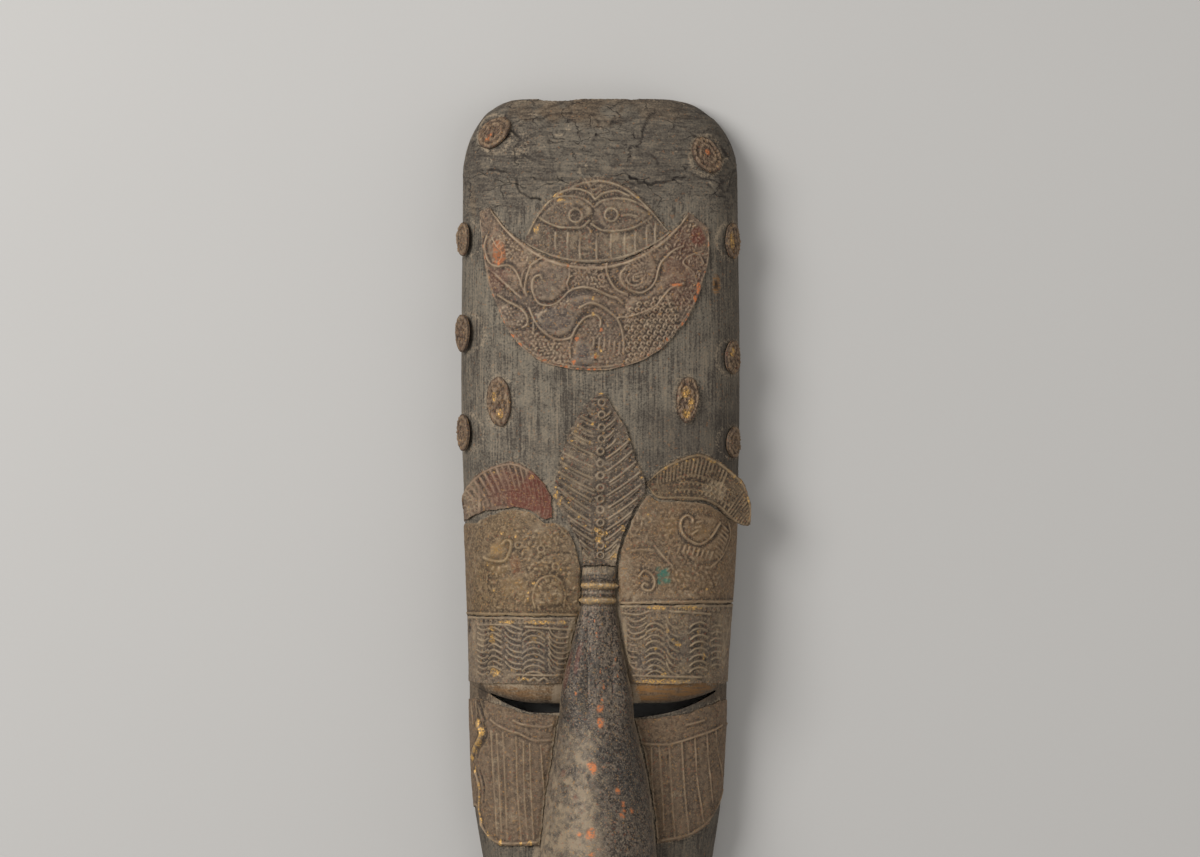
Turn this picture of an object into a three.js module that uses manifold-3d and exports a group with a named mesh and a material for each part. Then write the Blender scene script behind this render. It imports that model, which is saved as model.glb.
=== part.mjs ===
// Long carved mask: a hollow wooden face with a tall forehead, dressed with sheets of beaten metal.
// It lies on its back, in millimetres: +X is the viewer's right, +Y the top of the head, and +Z
// looks out of the face. The flat rim of the back lies at z = 0, and the origin is its middle.
import * as THREE from 'three';
import { mergeVertices } from 'three/addons/utils/BufferGeometryUtils.js';
import Module from 'manifold-3d';

const wasm = await Module();
wasm.setup();
const { clamp, lerp, smoothstep } = THREE.MathUtils;

// Wooden body
const TOP = 320;
const WALL = 11;
const SQUARENESS = 3;
const SHOULDER = 0.55;
const HALF_WIDTH = [
  [-320, 8], [-316.5, 17], [-308, 28.5], [-294, 40.5], [-275, 51.5], [-250, 61],
  [-220, 69.5], [-182, 77], [-145, 82.5], [-100, 85], [-52, 86], [28, 90], [115, 92.6], [268, 91.6],
];
const CROWN = [
  [-320, 15], [-314, 27], [-302, 39], [-284, 48], [-255, 51], [-200, 51], [-140, 52], [-90, 54.5],
  [-55, 58], [-15, 61.5], [30, 64], [100, 64.5], [200, 63], [245, 60], [275, 54], [296, 45], [310, 36],
  [320, 25],
];
const AXIS = [[-320, 0], [-180, -1.6], [-80, -1.4], [28, 0.4], [320, 0]];
const CORNER = { start: 268, left: { flat: 54, round: 37.6 }, right: { flat: 44, round: 47.6 } };
const CHIP = { depth: 1.5, pitch: 37, crest: 36, reach: 12 };

// Eyelids and eye slits
const LID = { rise: 11.5, curl: 12, centre: 51, half: 43, pillow: 2.5, full: -40, top: 55 };
const SLIT = { level: -81, flat: 38, curve: 0.0055, tuck: 0.8, least: 0.6, taper: 0.9 };
const SLIT_LEFT = { outer: -72, inner: -26.5, height: 5.2, fullest: 0.55 };
const SLIT_RIGHT = { outer: 76.5, inner: 20, height: 8.4, fullest: 0.9 };
const SLIT_CUT = { steps: 7, low: 20, high: 110 };
const BEND = { full: 18, none: 70 };

// Nose and mouth
const NOSE_HALF = [
  [-205, 40], [-180, 38], [-134, 32.6], [-92, 24.4], [-73, 22.6], [-47, 16.6], [-14, 10.4], [9, 10.2],
];
const NOSE_MID = [[-205, -1.4], [-134, -0.8], [-73, -2.6], [-40, -2], [9, -0.4]];
const NOSE_RISE = [
  [-205, 53], [-180, 50], [-140, 42.5], [-100, 33], [-70, 24.5], [-40, 16], [-14, 10.5], [9, 8],
];
const NOSE = { fadeStart: 15, fadeEnd: 5, least: 10.2, tipStart: -205, tip: 33, roundness: 2.3 };
const MOUTH = {
  level: -259, half: 42, bend: 0.005, lip: 6, lipSpread: 5.5, lipOffset: 8, groove: 5, grooveSpread: 2.6,
};

// Hollow behind the face, with a pocket for the wearer's nose. It reaches below the rim's plane.
const HOLLOW = {
  top: 308, foot: -307, below: -2, ahead: 1.01,
  pocket: 13, pocketHalf: 34, pocketTop: -60, pocketFoot: -215,
};

// Rows and columns of the wood's faces, close where the form turns fast
const HEAD_ROWS = [320, 316, 308, 297, 284, 268, 248, 220, 192, 164, 136, 108, 80, 60, 42, 25];
const TIP_TURNS = [0, 0.35, 0.7, 1, 1.25];
const NOSE_ROWS = [
  9, 1.4, -1.9, -5, -12.6, -16, -40, -66, -73, -78, -80.5, -81.2, -92, -109, -130, -154, -180,
  ...TIP_TURNS.map((turn) => NOSE.tipStart - NOSE.tip * Math.sin(turn)),
];
const CHIN_ROWS = [-237.4, -238.2, -245, -251, -255, -258, -261, -266, -274, -287, -300, -311, -318, -320];
const HOLLOW_ROWS = [
  308, 303, 293, 276, 250, 190, 130, 70, 10, -35, -60, -86, -112, -137, -163, -189, -215, -245, -270,
  -288, -300, -307,
];
const NOSE_COLUMNS = 8;
const SIDE_COLUMNS = 6;
const HOLLOW_COLUMNS = 10;
const NOSE_MARGIN = 0.012;

// Metal sheets, and how far round the side they wrap
const SHEET = 1.2;
const GAP = 0.5;
const RIDGE = { wide: 2, high: 0.9, root: 0.7 };
const WRAP = 0.87;
const PROBE = { across: 0.004, up: 0.4 };

// Crescent on the forehead: its hand-cut outer edge, and the circle that hollows its upper side
const CRESCENT = { innerX: -6, innerY: 285, innerRadius: 76, innerFrom: 3.67, innerTo: 5.71 };
const CRESCENT_EDGE = [
  [-78.5, 243.8], [-77.4, 232], [-75.4, 215], [-72, 195], [-66, 178.5], [-58.6, 163.5],
  [-47.5, 151.5], [-34, 143.8], [-18.5, 140], [-2, 139.2], [14.5, 141.6], [31, 148.2],
  [47.6, 161], [60.6, 179.6], [68.2, 201.5], [71, 219], [70.6, 233.4],
];
const SCROLLS = [
  {
    points: [
      [-38, 201], [-43, 200], [-44.5, 194.5], [-43, 188], [-40, 183.5], [-34.5, 182], [-28.5, 183.5],
      [-20, 191.5], [-13, 194], [-1.5, 192], [7, 188], [15, 183.5],
    ],
    steps: 9,
  },
  {
    points: [
      [-46.5, 180.5], [-43, 172.5], [-39, 166.5], [-33.5, 162], [-27.5, 159.5], [-21.5, 160],
      [-16.5, 165.5], [-9.5, 174], [-1.5, 175],
    ],
    steps: 7,
  },
  {
    points: [
      [-13.5, 180.5], [-5.5, 183.5], [0, 182], [6, 178], [11, 173.5], [14, 167.5], [15.5, 158.5],
      [15.5, 150.5],
    ],
    steps: 6,
  },
  {
    points: [
      [16.5, 206.5], [13.5, 202.5], [14, 198], [17.5, 193.5], [22.5, 191], [27.5, 190.5], [33, 193.5],
      [36.5, 198.5], [38, 204.5], [40, 210], [43.5, 214], [54.5, 221],
    ],
    steps: 9,
  },
  { points: [[54.5, 196.5], [46.5, 193.5], [36.5, 182], [29.5, 178], [12, 174]], steps: 4 },
  { points: [[-73.5, 228], [-75, 222], [-71.5, 210], [-59.5, 208.5], [-52.5, 200], [-51, 194.5]], steps: 4 },
];

// Plaque with two almond eyes, above the crescent
const PLAQUE = { from: 4.1, to: 5.49, clear: 0.6, pupil: 4.2, pupilSides: 6 };
const PLAQUE_TOP = [
  [-48.2, 227], [-37.5, 247.5], [-22, 260.5], [-2.6, 266.6], [14, 262.5], [30, 249], [45.5, 229.6],
];
const PLAQUE_EYES = [
  {
    upper: [[-42.5, 241], [-35.5, 249], [-21.5, 254], [-4, 246.5]],
    lower: [[-42.5, 241], [-27, 233.5], [-12, 233.5], [-4, 246.5]],
    pupil: [-16, 241],
  },
  {
    upper: [[-4, 246.5], [6, 252], [16.5, 252], [33.5, 241]],
    lower: [[-4, 235.5], [1.5, 231.5], [20.5, 232.5], [33.5, 241]],
    pupil: [7.5, 241.5],
  },
];

// Leaf over the root of the nose: its edges as height and distance from the middle line
const LEAF_LEFT = [
  [9.8, -11], [24.6, -13.4], [36, -18.8], [46, -24.5], [55, -30.4], [62, -30.2], [76, -26.6],
  [93, -22.4], [106, -16.7], [117.5, -8.2], [124, -1.2],
];
const LEAF_RIGHT = [
  [9.8, 11], [24.6, 12.8], [36, 17], [47.5, 22.6], [60, 29], [69, 28.4], [83, 22.8], [100, 17.2],
  [114.7, 8.8], [124, 2.6],
];
const LEAF = {
  foot: 9.8, tip: 124, veins: 16, veinRise: 0.9, slant: 0.62, settle: 6, begin: 0.05,
  edge: 0.05, midrib: 0.06, proud: 0.6,
};

// Brow sheets
const BROW_LEFT = {
  top: [
    [-92, 47], [-88.4, 59.4], [-79, 71], [-68, 77], [-57, 78.8], [-46.5, 74.1], [-38, 66.5], [-32.6, 57],
  ],
  bottom: [[-92, 39], [-80, 44.6], [-68.6, 47.6], [-55.4, 49], [-44.2, 46.4], [-37, 41.4], [-31.5, 42]],
};
const BROW_RIGHT = {
  top: [
    [30.6, 65.6], [41.9, 75.5], [57.8, 83.2], [66, 84.6], [76, 80.4], [88.1, 71], [94.6, 64], [98.8, 50],
    [97.8, 37.8],
  ],
  bottom: [
    [31.4, 62.6], [38.1, 55], [55.4, 54], [68, 53], [76.8, 49], [84.3, 42], [90.4, 38], [96, 36.4],
  ],
};
const BROW = { steps: 18, backSteps: 14, border: 0.18, hatch: 0.8 };
const OVERHANG = { start: 77, fall: 0.42 };

// Lid sheets: upper edge from the outer side in, level foot, and the marks beaten into them
const LID_LEFT = {
  side: -1, foot: -22.4, innerFoot: -14,
  top: [
    [-80.5, 38.2], [-73, 42.8], [-65.3, 46], [-55.4, 47.6], [-44.2, 44.4], [-37, 39], [-29, 38.6],
    [-21.5, 34], [-17.4, 25], [-14.4, 13], [-13.6, 5],
  ],
  marks: [
    {
      points: [[-63, 24.5], [-60, 27], [-57.5, 23], [-59, 18], [-61.5, 14], [-65, 13], [-75, 15.5]],
      steps: 7,
    },
    { points: [[-42.5, -3], [-39.5, 1.5], [-33, 4], [-27.5, 2], [-25, -1]], steps: 4 },
  ],
};
const LID_RIGHT = {
  side: 1, foot: -14.4, innerFoot: 13,
  top: [
    [84, 40.4], [76, 47.6], [68, 51.4], [55.4, 52.4], [38.1, 53.2], [31.4, 57], [24.4, 45.6],
    [18.8, 34], [14.8, 23], [13, 12], [12.6, 4],
  ],
  marks: [
    {
      points: [
        [60, 39], [60, 41.5], [57, 43.5], [53.5, 41], [52.5, 36.5], [54.5, 30.5], [60, 26], [65, 24.5],
        [70.5, 27.5], [74, 32], [78, 38.5],
      ],
      steps: 9,
    },
    { points: [[26, 3.5], [29, 7], [35.5, 2.5], [34, -5.5], [28, -3.5]], steps: 4 },
    { points: [[36, 23.5], [41.5, 16.5], [47.5, 10]], steps: 2 },
  ],
};
const LID_SHEET = { wrapped: 0.1, wrapSteps: 3, steps: 10, across: 4, proud: 0.15 };

// Bands of combed waves under the lid sheets
const BAND_LEFT = { side: -1, head: -23.2, innerTop: -15.4, innerFoot: -25.6, crest: 43.3, pitch: 26.3 };
const BAND_RIGHT = { side: 1, head: -15.2, innerTop: 13.2, innerFoot: 20.5, crest: 36.6, pitch: 28.9 };
const BAND = {
  foot: -66.8, outer: 84, inner: 20, strokes: 5, strokeRise: 0.8, frame: 0.13, fade: 0.12, wave: 1.7,
  columns: 10, margin: 0.05,
};

// Cheek sheets: each has a curved line near its top, and upright ridges below that line
const CHEEK_LEFT = {
  side: -1,
  top: [[-77, -79], [-70, -81.5], [-60, -85], [-46, -88.6], [-29, -88.8]],
  foot: [[-80.5, -150], [-75.5, -166], [-68, -173.5], [-60, -175], [-43.5, -174]],
  ridges: [0.23, 0.37, 0.52, 0.67, 0.82],
  line: 0.16,
};
const CHEEK_RIGHT = {
  side: 1,
  top: [[78, -80], [68, -84.6], [56, -88.4], [42, -90.6], [27, -91]],
  foot: [[80, -140], [76, -152], [68, -163], [58, -169.5], [40.5, -173]],
  ridges: [0.2, 0.32, 0.44, 0.57, 0.7, 0.84],
  line: 0.21,
};
const CHEEK = { wrapped: 0.14, wrapSteps: 3, halfRidge: 0.022, high: 0.9, halfLine: 0.03 };

// Sheet over the nose, with two raised ridges at its collar
const SHEATH = { edge: 0.965, collar: [-1.9, -12.6], collarRise: 1.1 };

// Oval rosettes. A loose one stands off the wood, flat, because the shoulder falls away behind it.
const ROSETTES = [
  { name: 'rosette_top_left', x: -70, y: 297, half: 11, tall: 13, turn: -0.6 },
  { name: 'rosette_top_right', x: 70.5, y: 281.8, half: 10.5, tall: 13.4, turn: 0.35 },
  { name: 'rosette_left_upper', x: -88, y: 226.6, half: 10.5, tall: 11.4, turn: 0, loose: 1.6 },
  { name: 'rosette_left_middle', x: -88, y: 164.4, half: 12, tall: 12.8, turn: 0, loose: 2 },
  { name: 'rosette_left_lower', x: -88, y: 98.4, half: 11, tall: 12.4, turn: 0, loose: 1.4 },
  { name: 'rosette_right_upper', x: 87.4, y: 225.2, half: 10.5, tall: 12.2, turn: 0 },
  { name: 'rosette_right_middle', x: 87.4, y: 148, half: 10.5, tall: 11.6, turn: 0 },
  { name: 'rosette_right_lower', x: 88, y: 91.8, half: 10.5, tall: 10.8, turn: 0 },
  { name: 'rosette_inner_left', x: -66.3, y: 118.8, half: 9, tall: 16.8, turn: 0.06 },
  { name: 'rosette_inner_right', x: 57.4, y: 120.2, half: 8, tall: 15.6, turn: -0.06 },
];
const ROSETTE = { sides: 8, foot: 0.85, rim: 0.8, rimRise: 0.9, dish: 0.55, boss: 1.4, bend: 100 };

// A smooth curve through pairs of a rising station and its value.
function follow(pairs) {
  const slopes = pairs.map((_, i) => {
    const before = pairs[Math.max(i - 1, 0)];
    const after = pairs[Math.min(i + 1, pairs.length - 1)];
    return (after[1] - before[1]) / (after[0] - before[0]);
  });
  return (at) => {
    const next = pairs.findIndex(([station]) => station > at);
    const i = clamp(next < 0 ? pairs.length - 2 : next - 1, 0, pairs.length - 2);
    const step = pairs[i + 1][0] - pairs[i][0];
    const t = clamp((at - pairs[i][0]) / step, 0, 1);
    const smooth = t * t * (3 - 2 * t);
    const leave = t * (1 - t) ** 2 * step * slopes[i];
    const arrive = t * t * (t - 1) * step * slopes[i + 1];
    return lerp(pairs[i][1], pairs[i + 1][1], smooth) + leave + arrive;
  };
}

// A smooth plane route through points, from 0 at its start to 1 at its end.
function route(points) {
  const far = [0];
  points.slice(1).forEach(([x, y], i) => {
    far.push(far[i] + Math.hypot(x - points[i][0], y - points[i][1]));
  });
  const whole = far[far.length - 1];
  const x = follow(points.map((p, i) => [far[i] / whole, p[0]]));
  const y = follow(points.map((p, i) => [far[i] / whole, p[1]]));
  return (u) => [x(u), y(u)];
}

// Evenly spaced values from one end to the other, both ends included.
function spread(from, to, steps) {
  return Array.from({ length: steps + 1 }, (_, i) => lerp(from, to, i / steps));
}

const sideLine = follow(HALF_WIDTH);
const crownLine = follow(CROWN);
const axisLine = follow(AXIS);
const noseHalf = follow(NOSE_HALF);
const noseMid = follow(NOSE_MID);
const noseRise = follow(NOSE_RISE);

function halfWidth(y, side) {
  if (y < CORNER.start) return sideLine(y);
  const { flat, round } = side < 0 ? CORNER.left : CORNER.right;
  return flat + round * Math.sqrt(Math.max(0, 1 - ((y - CORNER.start) / (TOP - CORNER.start)) ** 2));
}

// Upper edge of the eye slits, which is also the lower edge of the eyelids.
function slitTop(x) {
  return SLIT.level + SLIT.curve * Math.max(0, Math.abs(x) - SLIT.flat) ** 2;
}

function lidSwell(x, y) {
  const above = y - slitTop(x);
  if (above <= 0) return 0;
  const curl = Math.sqrt(1 - (1 - Math.min(above / LID.curl, 1)) ** 2);
  const fade = 1 - smoothstep(y, LID.full, LID.top);
  const pillow = Math.max(0, 1 - Math.abs((Math.abs(x) - LID.centre) / LID.half) ** LID.pillow);
  return LID.rise * curl * fade * pillow;
}

// How much of the nose's full girth is left as it rounds under at its tip.
function noseEnd(y) {
  const past = Math.max(0, NOSE.tipStart - y) / NOSE.tip;
  return Math.sqrt(Math.max(0, 1 - past ** NOSE.roundness));
}

function noseReach(y) {
  return noseHalf(y) * noseEnd(y);
}

function noseSwell(x, y) {
  if (y > NOSE.fadeStart || y < NOSE.tipStart - NOSE.tip) return 0;
  const across = Math.abs((x - noseMid(y)) / Math.max(noseReach(y), 1));
  if (across >= 1) return 0;
  const begin = 1 - smoothstep(y, NOSE.fadeEnd, NOSE.fadeStart);
  return noseRise(y) * noseEnd(y) * begin * Math.sqrt(1 - across ** NOSE.roundness);
}

function mouthCarving(x, y) {
  const window = Math.max(0, 1 - (x / MOUTH.half) ** 2);
  const off = y - MOUTH.level - MOUTH.bend * x * x;
  const upper = Math.exp(-(((off - MOUTH.lipOffset) / MOUTH.lipSpread) ** 2));
  const lower = Math.exp(-(((off + MOUTH.lipOffset) / MOUTH.lipSpread) ** 2));
  const groove = Math.exp(-((off / MOUTH.grooveSpread) ** 2));
  return window * (MOUTH.lip * (upper + lower) - MOUTH.groove * groove);
}

function carving(x, y) {
  return lidSwell(x, y) + noseSwell(x, y) + mouthCarving(x, y);
}

// Point of the wood's face. Across runs from -1 at the left rim over 0 on the axis to 1 at the right.
function skin(across, y) {
  const side = Math.sign(across) || 1;
  const turn = (1 - Math.min(Math.abs(across), 1)) * Math.PI / 2;
  const out = Math.cos(turn) ** (2 / SQUARENESS);
  const up = Math.sin(turn) ** (2 / SQUARENESS);
  const x = axisLine(y) + side * halfWidth(y, side) * out;
  const z = crownLine(y) * up + carving(x, y) * smoothstep(up, 0, SHOULDER);
  return new THREE.Vector3(x, y, z);
}

function acrossAt(x, y) {
  const off = x - axisLine(y);
  const part = clamp(Math.abs(off) / halfWidth(y, Math.sign(off) || 1), 0, 1);
  return Math.sign(off) * (1 - Math.acos(part ** (SQUARENESS / 2)) / (Math.PI / 2));
}

// A place on the face, seen from the front, as its across value and its height up the mask.
function spot(x, y) {
  return [acrossAt(x, y), y];
}

// Direction straight out of the wood.
function outward(across, y) {
  const sideways = skin(across + PROBE.across, y).sub(skin(across - PROBE.across, y));
  const upwards = skin(across, y + PROBE.up).sub(skin(across, y - PROBE.up));
  return sideways.cross(upwards).normalize();
}

// The point that stands off the wood by a height.
function onWood(across, y, height) {
  return skin(across, y).addScaledVector(outward(across, y), height);
}

// Collects the points and faces of one closed body.
class Shell {
  constructor() {
    this.points = [];
    this.faces = [];
  }

  point(p) {
    this.points.push(p.x, p.y, p.z);
    return this.points.length / 3 - 1;
  }

  grid(rows, cols, at) {
    const row = (j) => Array.from({ length: cols }, (_, i) => this.point(at(j, i)));
    return Array.from({ length: rows }, (_, j) => row(j));
  }

  quad(a, b, c, d) {
    this.faces.push(a, b, c, a, c, d);
  }

  // Faces between the rows of a grid of points. The under side of a sheet is covered turned over.
  cover(ids, turnedOver = false) {
    for (let j = 0; j < ids.length - 1; j += 1) {
      for (let i = 0; i < ids[j].length - 1; i += 1) {
        const [a, b, c, d] = [ids[j][i], ids[j][i + 1], ids[j + 1][i + 1], ids[j + 1][i]];
        this.quad(...(turnedOver ? [a, d, c, b] : [a, b, c, d]));
      }
    }
  }

  // Joins two border lines whose stations run from 0 to 1, however many points each has.
  zip(upper, lower) {
    let [a, b] = [0, 0];
    const next = (pairs, i) => (i < pairs.length - 1 ? pairs[i + 1][0] : Infinity);
    while (a < upper.length - 1 || b < lower.length - 1) {
      const stepUpper = next(upper, a) <= next(lower, b);
      this.faces.push(upper[a][1], lower[b][1], stepUpper ? upper[a + 1][1] : lower[b + 1][1]);
      if (stepUpper) a += 1;
      else b += 1;
    }
  }

  // The welded body, turned so that its faces look outwards.
  geometry() {
    const raw = new THREE.BufferGeometry();
    raw.setAttribute('position', new THREE.Float32BufferAttribute(this.points, 3));
    raw.setIndex(this.faces);
    const welded = mergeVertices(raw, 1e-4);
    const ids = Array.from(welded.index.array);
    const kept = [];
    for (let i = 0; i < ids.length; i += 3) {
      const [a, b, c] = ids.slice(i, i + 3);
      if (a !== b && b !== c && c !== a) kept.push([a, b, c]);
    }
    const corner = (id) => new THREE.Vector3().fromBufferAttribute(welded.attributes.position, id);
    const volume = kept.reduce((sum, [a, b, c]) => sum + corner(a).dot(corner(b).cross(corner(c))), 0);
    welded.setIndex(kept.flatMap((face) => (volume < 0 ? face.reverse() : face)));
    return welded;
  }

  solid() {
    const shape = this.geometry();
    return new wasm.Manifold(new wasm.Mesh({
      numProp: 3,
      vertProperties: new Float32Array(shape.attributes.position.array),
      triVerts: new Uint32Array(shape.index.array),
    }));
  }
}

// Rows bend to run along the eye slits, and the top one is chipped.
function bentRow(row, x) {
  const alongSlit = 1 - smoothstep(Math.abs(row - SLIT.level), BEND.full, BEND.none);
  const chipped = smoothstep(row, TOP - CHIP.reach, TOP);
  const chip = CHIP.depth * (Math.cos((x - CHIP.crest) / CHIP.pitch * 2 * Math.PI) - 1) / 2;
  return row + alongSlit * (slitTop(x) - SLIT.level) + chipped * chip;
}

function bodyColumns(row) {
  const half = Math.max(noseReach(row), NOSE.least);
  const middle = noseMid(row);
  const turns = spread(0, Math.PI, NOSE_COLUMNS);
  const nose = turns.map((turn) => acrossAt(middle - half * Math.cos(turn), row));
  const left = spread(-1, nose[0] - NOSE_MARGIN, SIDE_COLUMNS);
  const right = spread(nose[NOSE_COLUMNS] + NOSE_MARGIN, 1, SIDE_COLUMNS);
  return [...left, ...nose, ...right];
}

// A closed body over rows of points that run from one side round to the other.
function loft(rows, columnsAt, surface) {
  const shell = new Shell();
  const columns = rows.map(columnsAt);
  const ids = shell.grid(rows.length, columns[0].length, (j, i) => surface(columns[j][i], rows[j]));
  shell.cover(ids);
  const last = columns[0].length - 1;
  ids.slice(1).forEach((row, j) => shell.quad(ids[j][last], ids[j][0], row[0], row[last]));
  [ids[0], ids[ids.length - 1].slice().reverse()].forEach((ring) => {
    for (let i = 1; i < last; i += 1) shell.faces.push(ring[0], ring[i + 1], ring[i]);
  });
  return shell.solid();
}

function outerBody() {
  return loft([...HEAD_ROWS, ...NOSE_ROWS, ...CHIN_ROWS], bodyColumns, (across, row) => {
    const flat = skin(across, row);
    const p = skin(across, bentRow(row, flat.x));
    return Math.abs(across) === 1 ? p.setZ(0) : p;
  });
}

function nosePocket(x, y) {
  const along = (y - HOLLOW.pocketFoot) / (HOLLOW.pocketTop - HOLLOW.pocketFoot);
  if (along <= 0 || along >= 1) return 0;
  return HOLLOW.pocket * Math.sin(along * Math.PI) * Math.max(0, 1 - (x / HOLLOW.pocketHalf) ** 2);
}

// The hollow behind the face: the same form, one wall smaller.
function innerHollow() {
  const columns = spread(-1, 1, HOLLOW_COLUMNS);
  return loft(HOLLOW_ROWS, () => columns, (across, y) => {
    const side = Math.sign(across) || 1;
    const turn = (1 - Math.abs(across)) * Math.PI / 2;
    const reach = halfWidth(y * HOLLOW.ahead, side) - WALL;
    const high = crownLine(y * HOLLOW.ahead) - WALL;
    const x = axisLine(y) + side * reach * Math.cos(turn) ** (2 / SQUARENESS);
    const z = high * Math.sin(turn) ** (2 / SQUARENESS) + nosePocket(x, y);
    return new THREE.Vector3(x, y, Math.abs(across) === 1 ? HOLLOW.below : z);
  });
}

// A thin crescent, open at the nose and pointed at the outer corner, cut straight through.
function slitCutter({ outer, inner, height, fullest }) {
  const shell = new Shell();
  const ids = spread(0, 1, SLIT_CUT.steps).map((u) => {
    const x = lerp(outer, inner, u);
    const upper = slitTop(x) + SLIT.tuck;
    const lower = slitTop(x) - SLIT.least - height * Math.min(1, u / fullest) ** SLIT.taper;
    const { low, high } = SLIT_CUT;
    const corners = [[upper, low], [upper, high], [lower, high], [lower, low]];
    const ring = corners.map(([y, z]) => shell.point(new THREE.Vector3(x, y, z)));
    return [...ring, ring[0]];
  });
  const last = ids[SLIT_CUT.steps];
  shell.cover(ids);
  shell.quad(ids[0][3], ids[0][2], ids[0][1], ids[0][0]);
  shell.quad(last[0], last[1], last[2], last[3]);
  return shell.solid();
}

// A sheet that lies on the wood. Its place function turns two stations, each from 0 to 1, into a
// spot on the face. The beaten front is fine enough for its ridges, and the plain back is coarser.
function sheet({ place, along, over, backAlong, backOver, rise = () => 0, proud = 0, ground = onWood }) {
  const shell = new Shell();
  const front = shell.grid(along.length, over.length, (j, i) => {
    const height = GAP + SHEET + proud + rise(along[j], over[i]);
    return ground(...place(along[j], over[i]), height);
  });
  const back = shell.grid(backAlong.length, backOver.length, (j, i) => (
    ground(...place(backAlong[j], backOver[i]), GAP + proud)));
  shell.cover(front);
  shell.cover(back, true);
  const line = (stations, ids) => stations.map((station, i) => [station, ids[i]]);
  const backwards = (pairs) => pairs.map(([station, id]) => [1 - station, id]).reverse();
  const column = (ids, i) => ids.map((row) => row[i]);
  const [frontEnd, backEnd] = [front[along.length - 1], back[backAlong.length - 1]];
  const frontSide = column(front, over.length - 1);
  const backSide = column(back, backOver.length - 1);
  shell.zip(line(over, front[0]), line(backOver, back[0]));
  shell.zip(backwards(line(over, frontEnd)), backwards(line(backOver, backEnd)));
  shell.zip(backwards(line(along, column(front, 0))), backwards(line(backAlong, column(back, 0))));
  shell.zip(line(along, frontSide), line(backAlong, backSide));
  return shell.solid();
}

// A narrow raised line beaten into a sheet, along a route of spots.
function ridge(path, steps, proud = 0) {
  const shell = new Shell();
  const foot = GAP + SHEET + proud - RIDGE.root;
  const crest = GAP + SHEET + proud + RIDGE.high;
  const ids = spread(0, 1, steps).map((u) => {
    const [across, y] = path(u);
    const normal = outward(across, y);
    const centre = skin(across, y);
    const ahead = skin(...path(Math.min(u + 0.01, 1))).sub(skin(...path(Math.max(u - 0.01, 0))));
    const sideways = normal.clone().cross(ahead).setLength(RIDGE.wide / 2);
    const top = centre.clone().addScaledVector(normal, crest);
    const middle = centre.addScaledVector(normal, foot);
    const ring = [middle.clone().sub(sideways), middle.clone().add(sideways), top];
    const [left, right, upper] = ring.map((p) => shell.point(p));
    return [left, right, upper, left];
  });
  shell.cover(ids);
  shell.faces.push(ids[0][0], ids[0][2], ids[0][1]);
  shell.faces.push(ids[steps][0], ids[steps][1], ids[steps][2]);
  return shell.solid();
}

// A route of spots through points seen from the front.
function onFace(points) {
  const path = route(points);
  return (u) => spot(...path(u));
}

// Fills the sheet between two edges that run the same way.
function between(near, far) {
  return (u, v) => {
    const [a, b] = [near(u), far(u)];
    return [lerp(a[0], b[0], v), lerp(a[1], b[1], v)];
  };
}

// A plate of one thickness, with ridges beaten along lines that are seen from the front.
function linedPlate(place, along, over, lines, proud = 0) {
  let plate = sheet({ place, along, over, backAlong: along, backOver: over, proud });
  lines.forEach(({ points, steps }) => {
    plate = plate.add(ridge(onFace(points), steps, proud));
  });
  return plate;
}

function crescentInner(angle, radius) {
  return spot(CRESCENT.innerX + radius * Math.cos(angle), CRESCENT.innerY + radius * Math.sin(angle));
}

function crescentPlate() {
  const inner = (u) => crescentInner(lerp(CRESCENT.innerFrom, CRESCENT.innerTo, u), CRESCENT.innerRadius);
  return linedPlate(between(onFace(CRESCENT_EDGE), inner), spread(0, 1, 16), spread(0, 1, 3), SCROLLS);
}

// The points of a ring that is left a little open.
function openRing([x, y], radius, sides) {
  const angles = spread(0, 2 * Math.PI * (1 - 1 / (4 * sides)), sides);
  return angles.map((angle) => [x + radius * Math.cos(angle), y + radius * Math.sin(angle)]);
}

function facePlaque() {
  const radius = CRESCENT.innerRadius - PLAQUE.clear;
  const bottom = (u) => crescentInner(lerp(PLAQUE.from, PLAQUE.to, u), radius);
  const lines = PLAQUE_EYES.flatMap(({ upper, lower, pupil }) => [
    { points: upper, steps: 5 },
    { points: lower, steps: 5 },
    { points: openRing(pupil, PLAQUE.pupil, PLAQUE.pupilSides), steps: PLAQUE.pupilSides },
  ]);
  return linedPlate(between(onFace(PLAQUE_TOP), bottom), spread(0, 1, 10), spread(0, 1, 3), lines);
}

// The leaf's veins rise from the midrib to the edges.
function leafPlate() {
  const [left, right] = [follow(LEAF_LEFT), follow(LEAF_RIGHT)];
  const middle = (y) => (left(y) + right(y)) / 2;
  const edgeHeight = (edge, y) => {
    let at = y;
    for (let pass = 0; pass < LEAF.settle; pass += 1) {
      at = Math.min(y + LEAF.slant * Math.abs(edge(at) - middle(at)), LEAF.tip);
    }
    return at;
  };
  const place = (u, v) => {
    const y = lerp(LEAF.foot, LEAF.tip, u);
    const edge = v < 0.5 ? left : right;
    const slanted = lerp(y, edgeHeight(edge, y), smoothstep(u, 0, LEAF.begin));
    const off = Math.abs(2 * v - 1);
    return spot(lerp(middle(y), edge(slanted), off), lerp(y, slanted, off));
  };
  const steps = LEAF.veins * 2;
  const flanks = [LEAF.edge, 0.5, 1 - LEAF.edge];
  return sheet({
    place,
    along: spread(0, 1, steps),
    over: [0, LEAF.edge, 0.5 - LEAF.midrib, 0.5, 0.5 + LEAF.midrib, 1 - LEAF.edge, 1],
    backAlong: spread(0, 1, 10),
    backOver: spread(0, 1, 4),
    proud: LEAF.proud,
    rise: (u, v) => (Math.round(u * steps) % 2 === 1 && flanks.includes(v) ? LEAF.veinRise : 0),
  });
}

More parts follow.
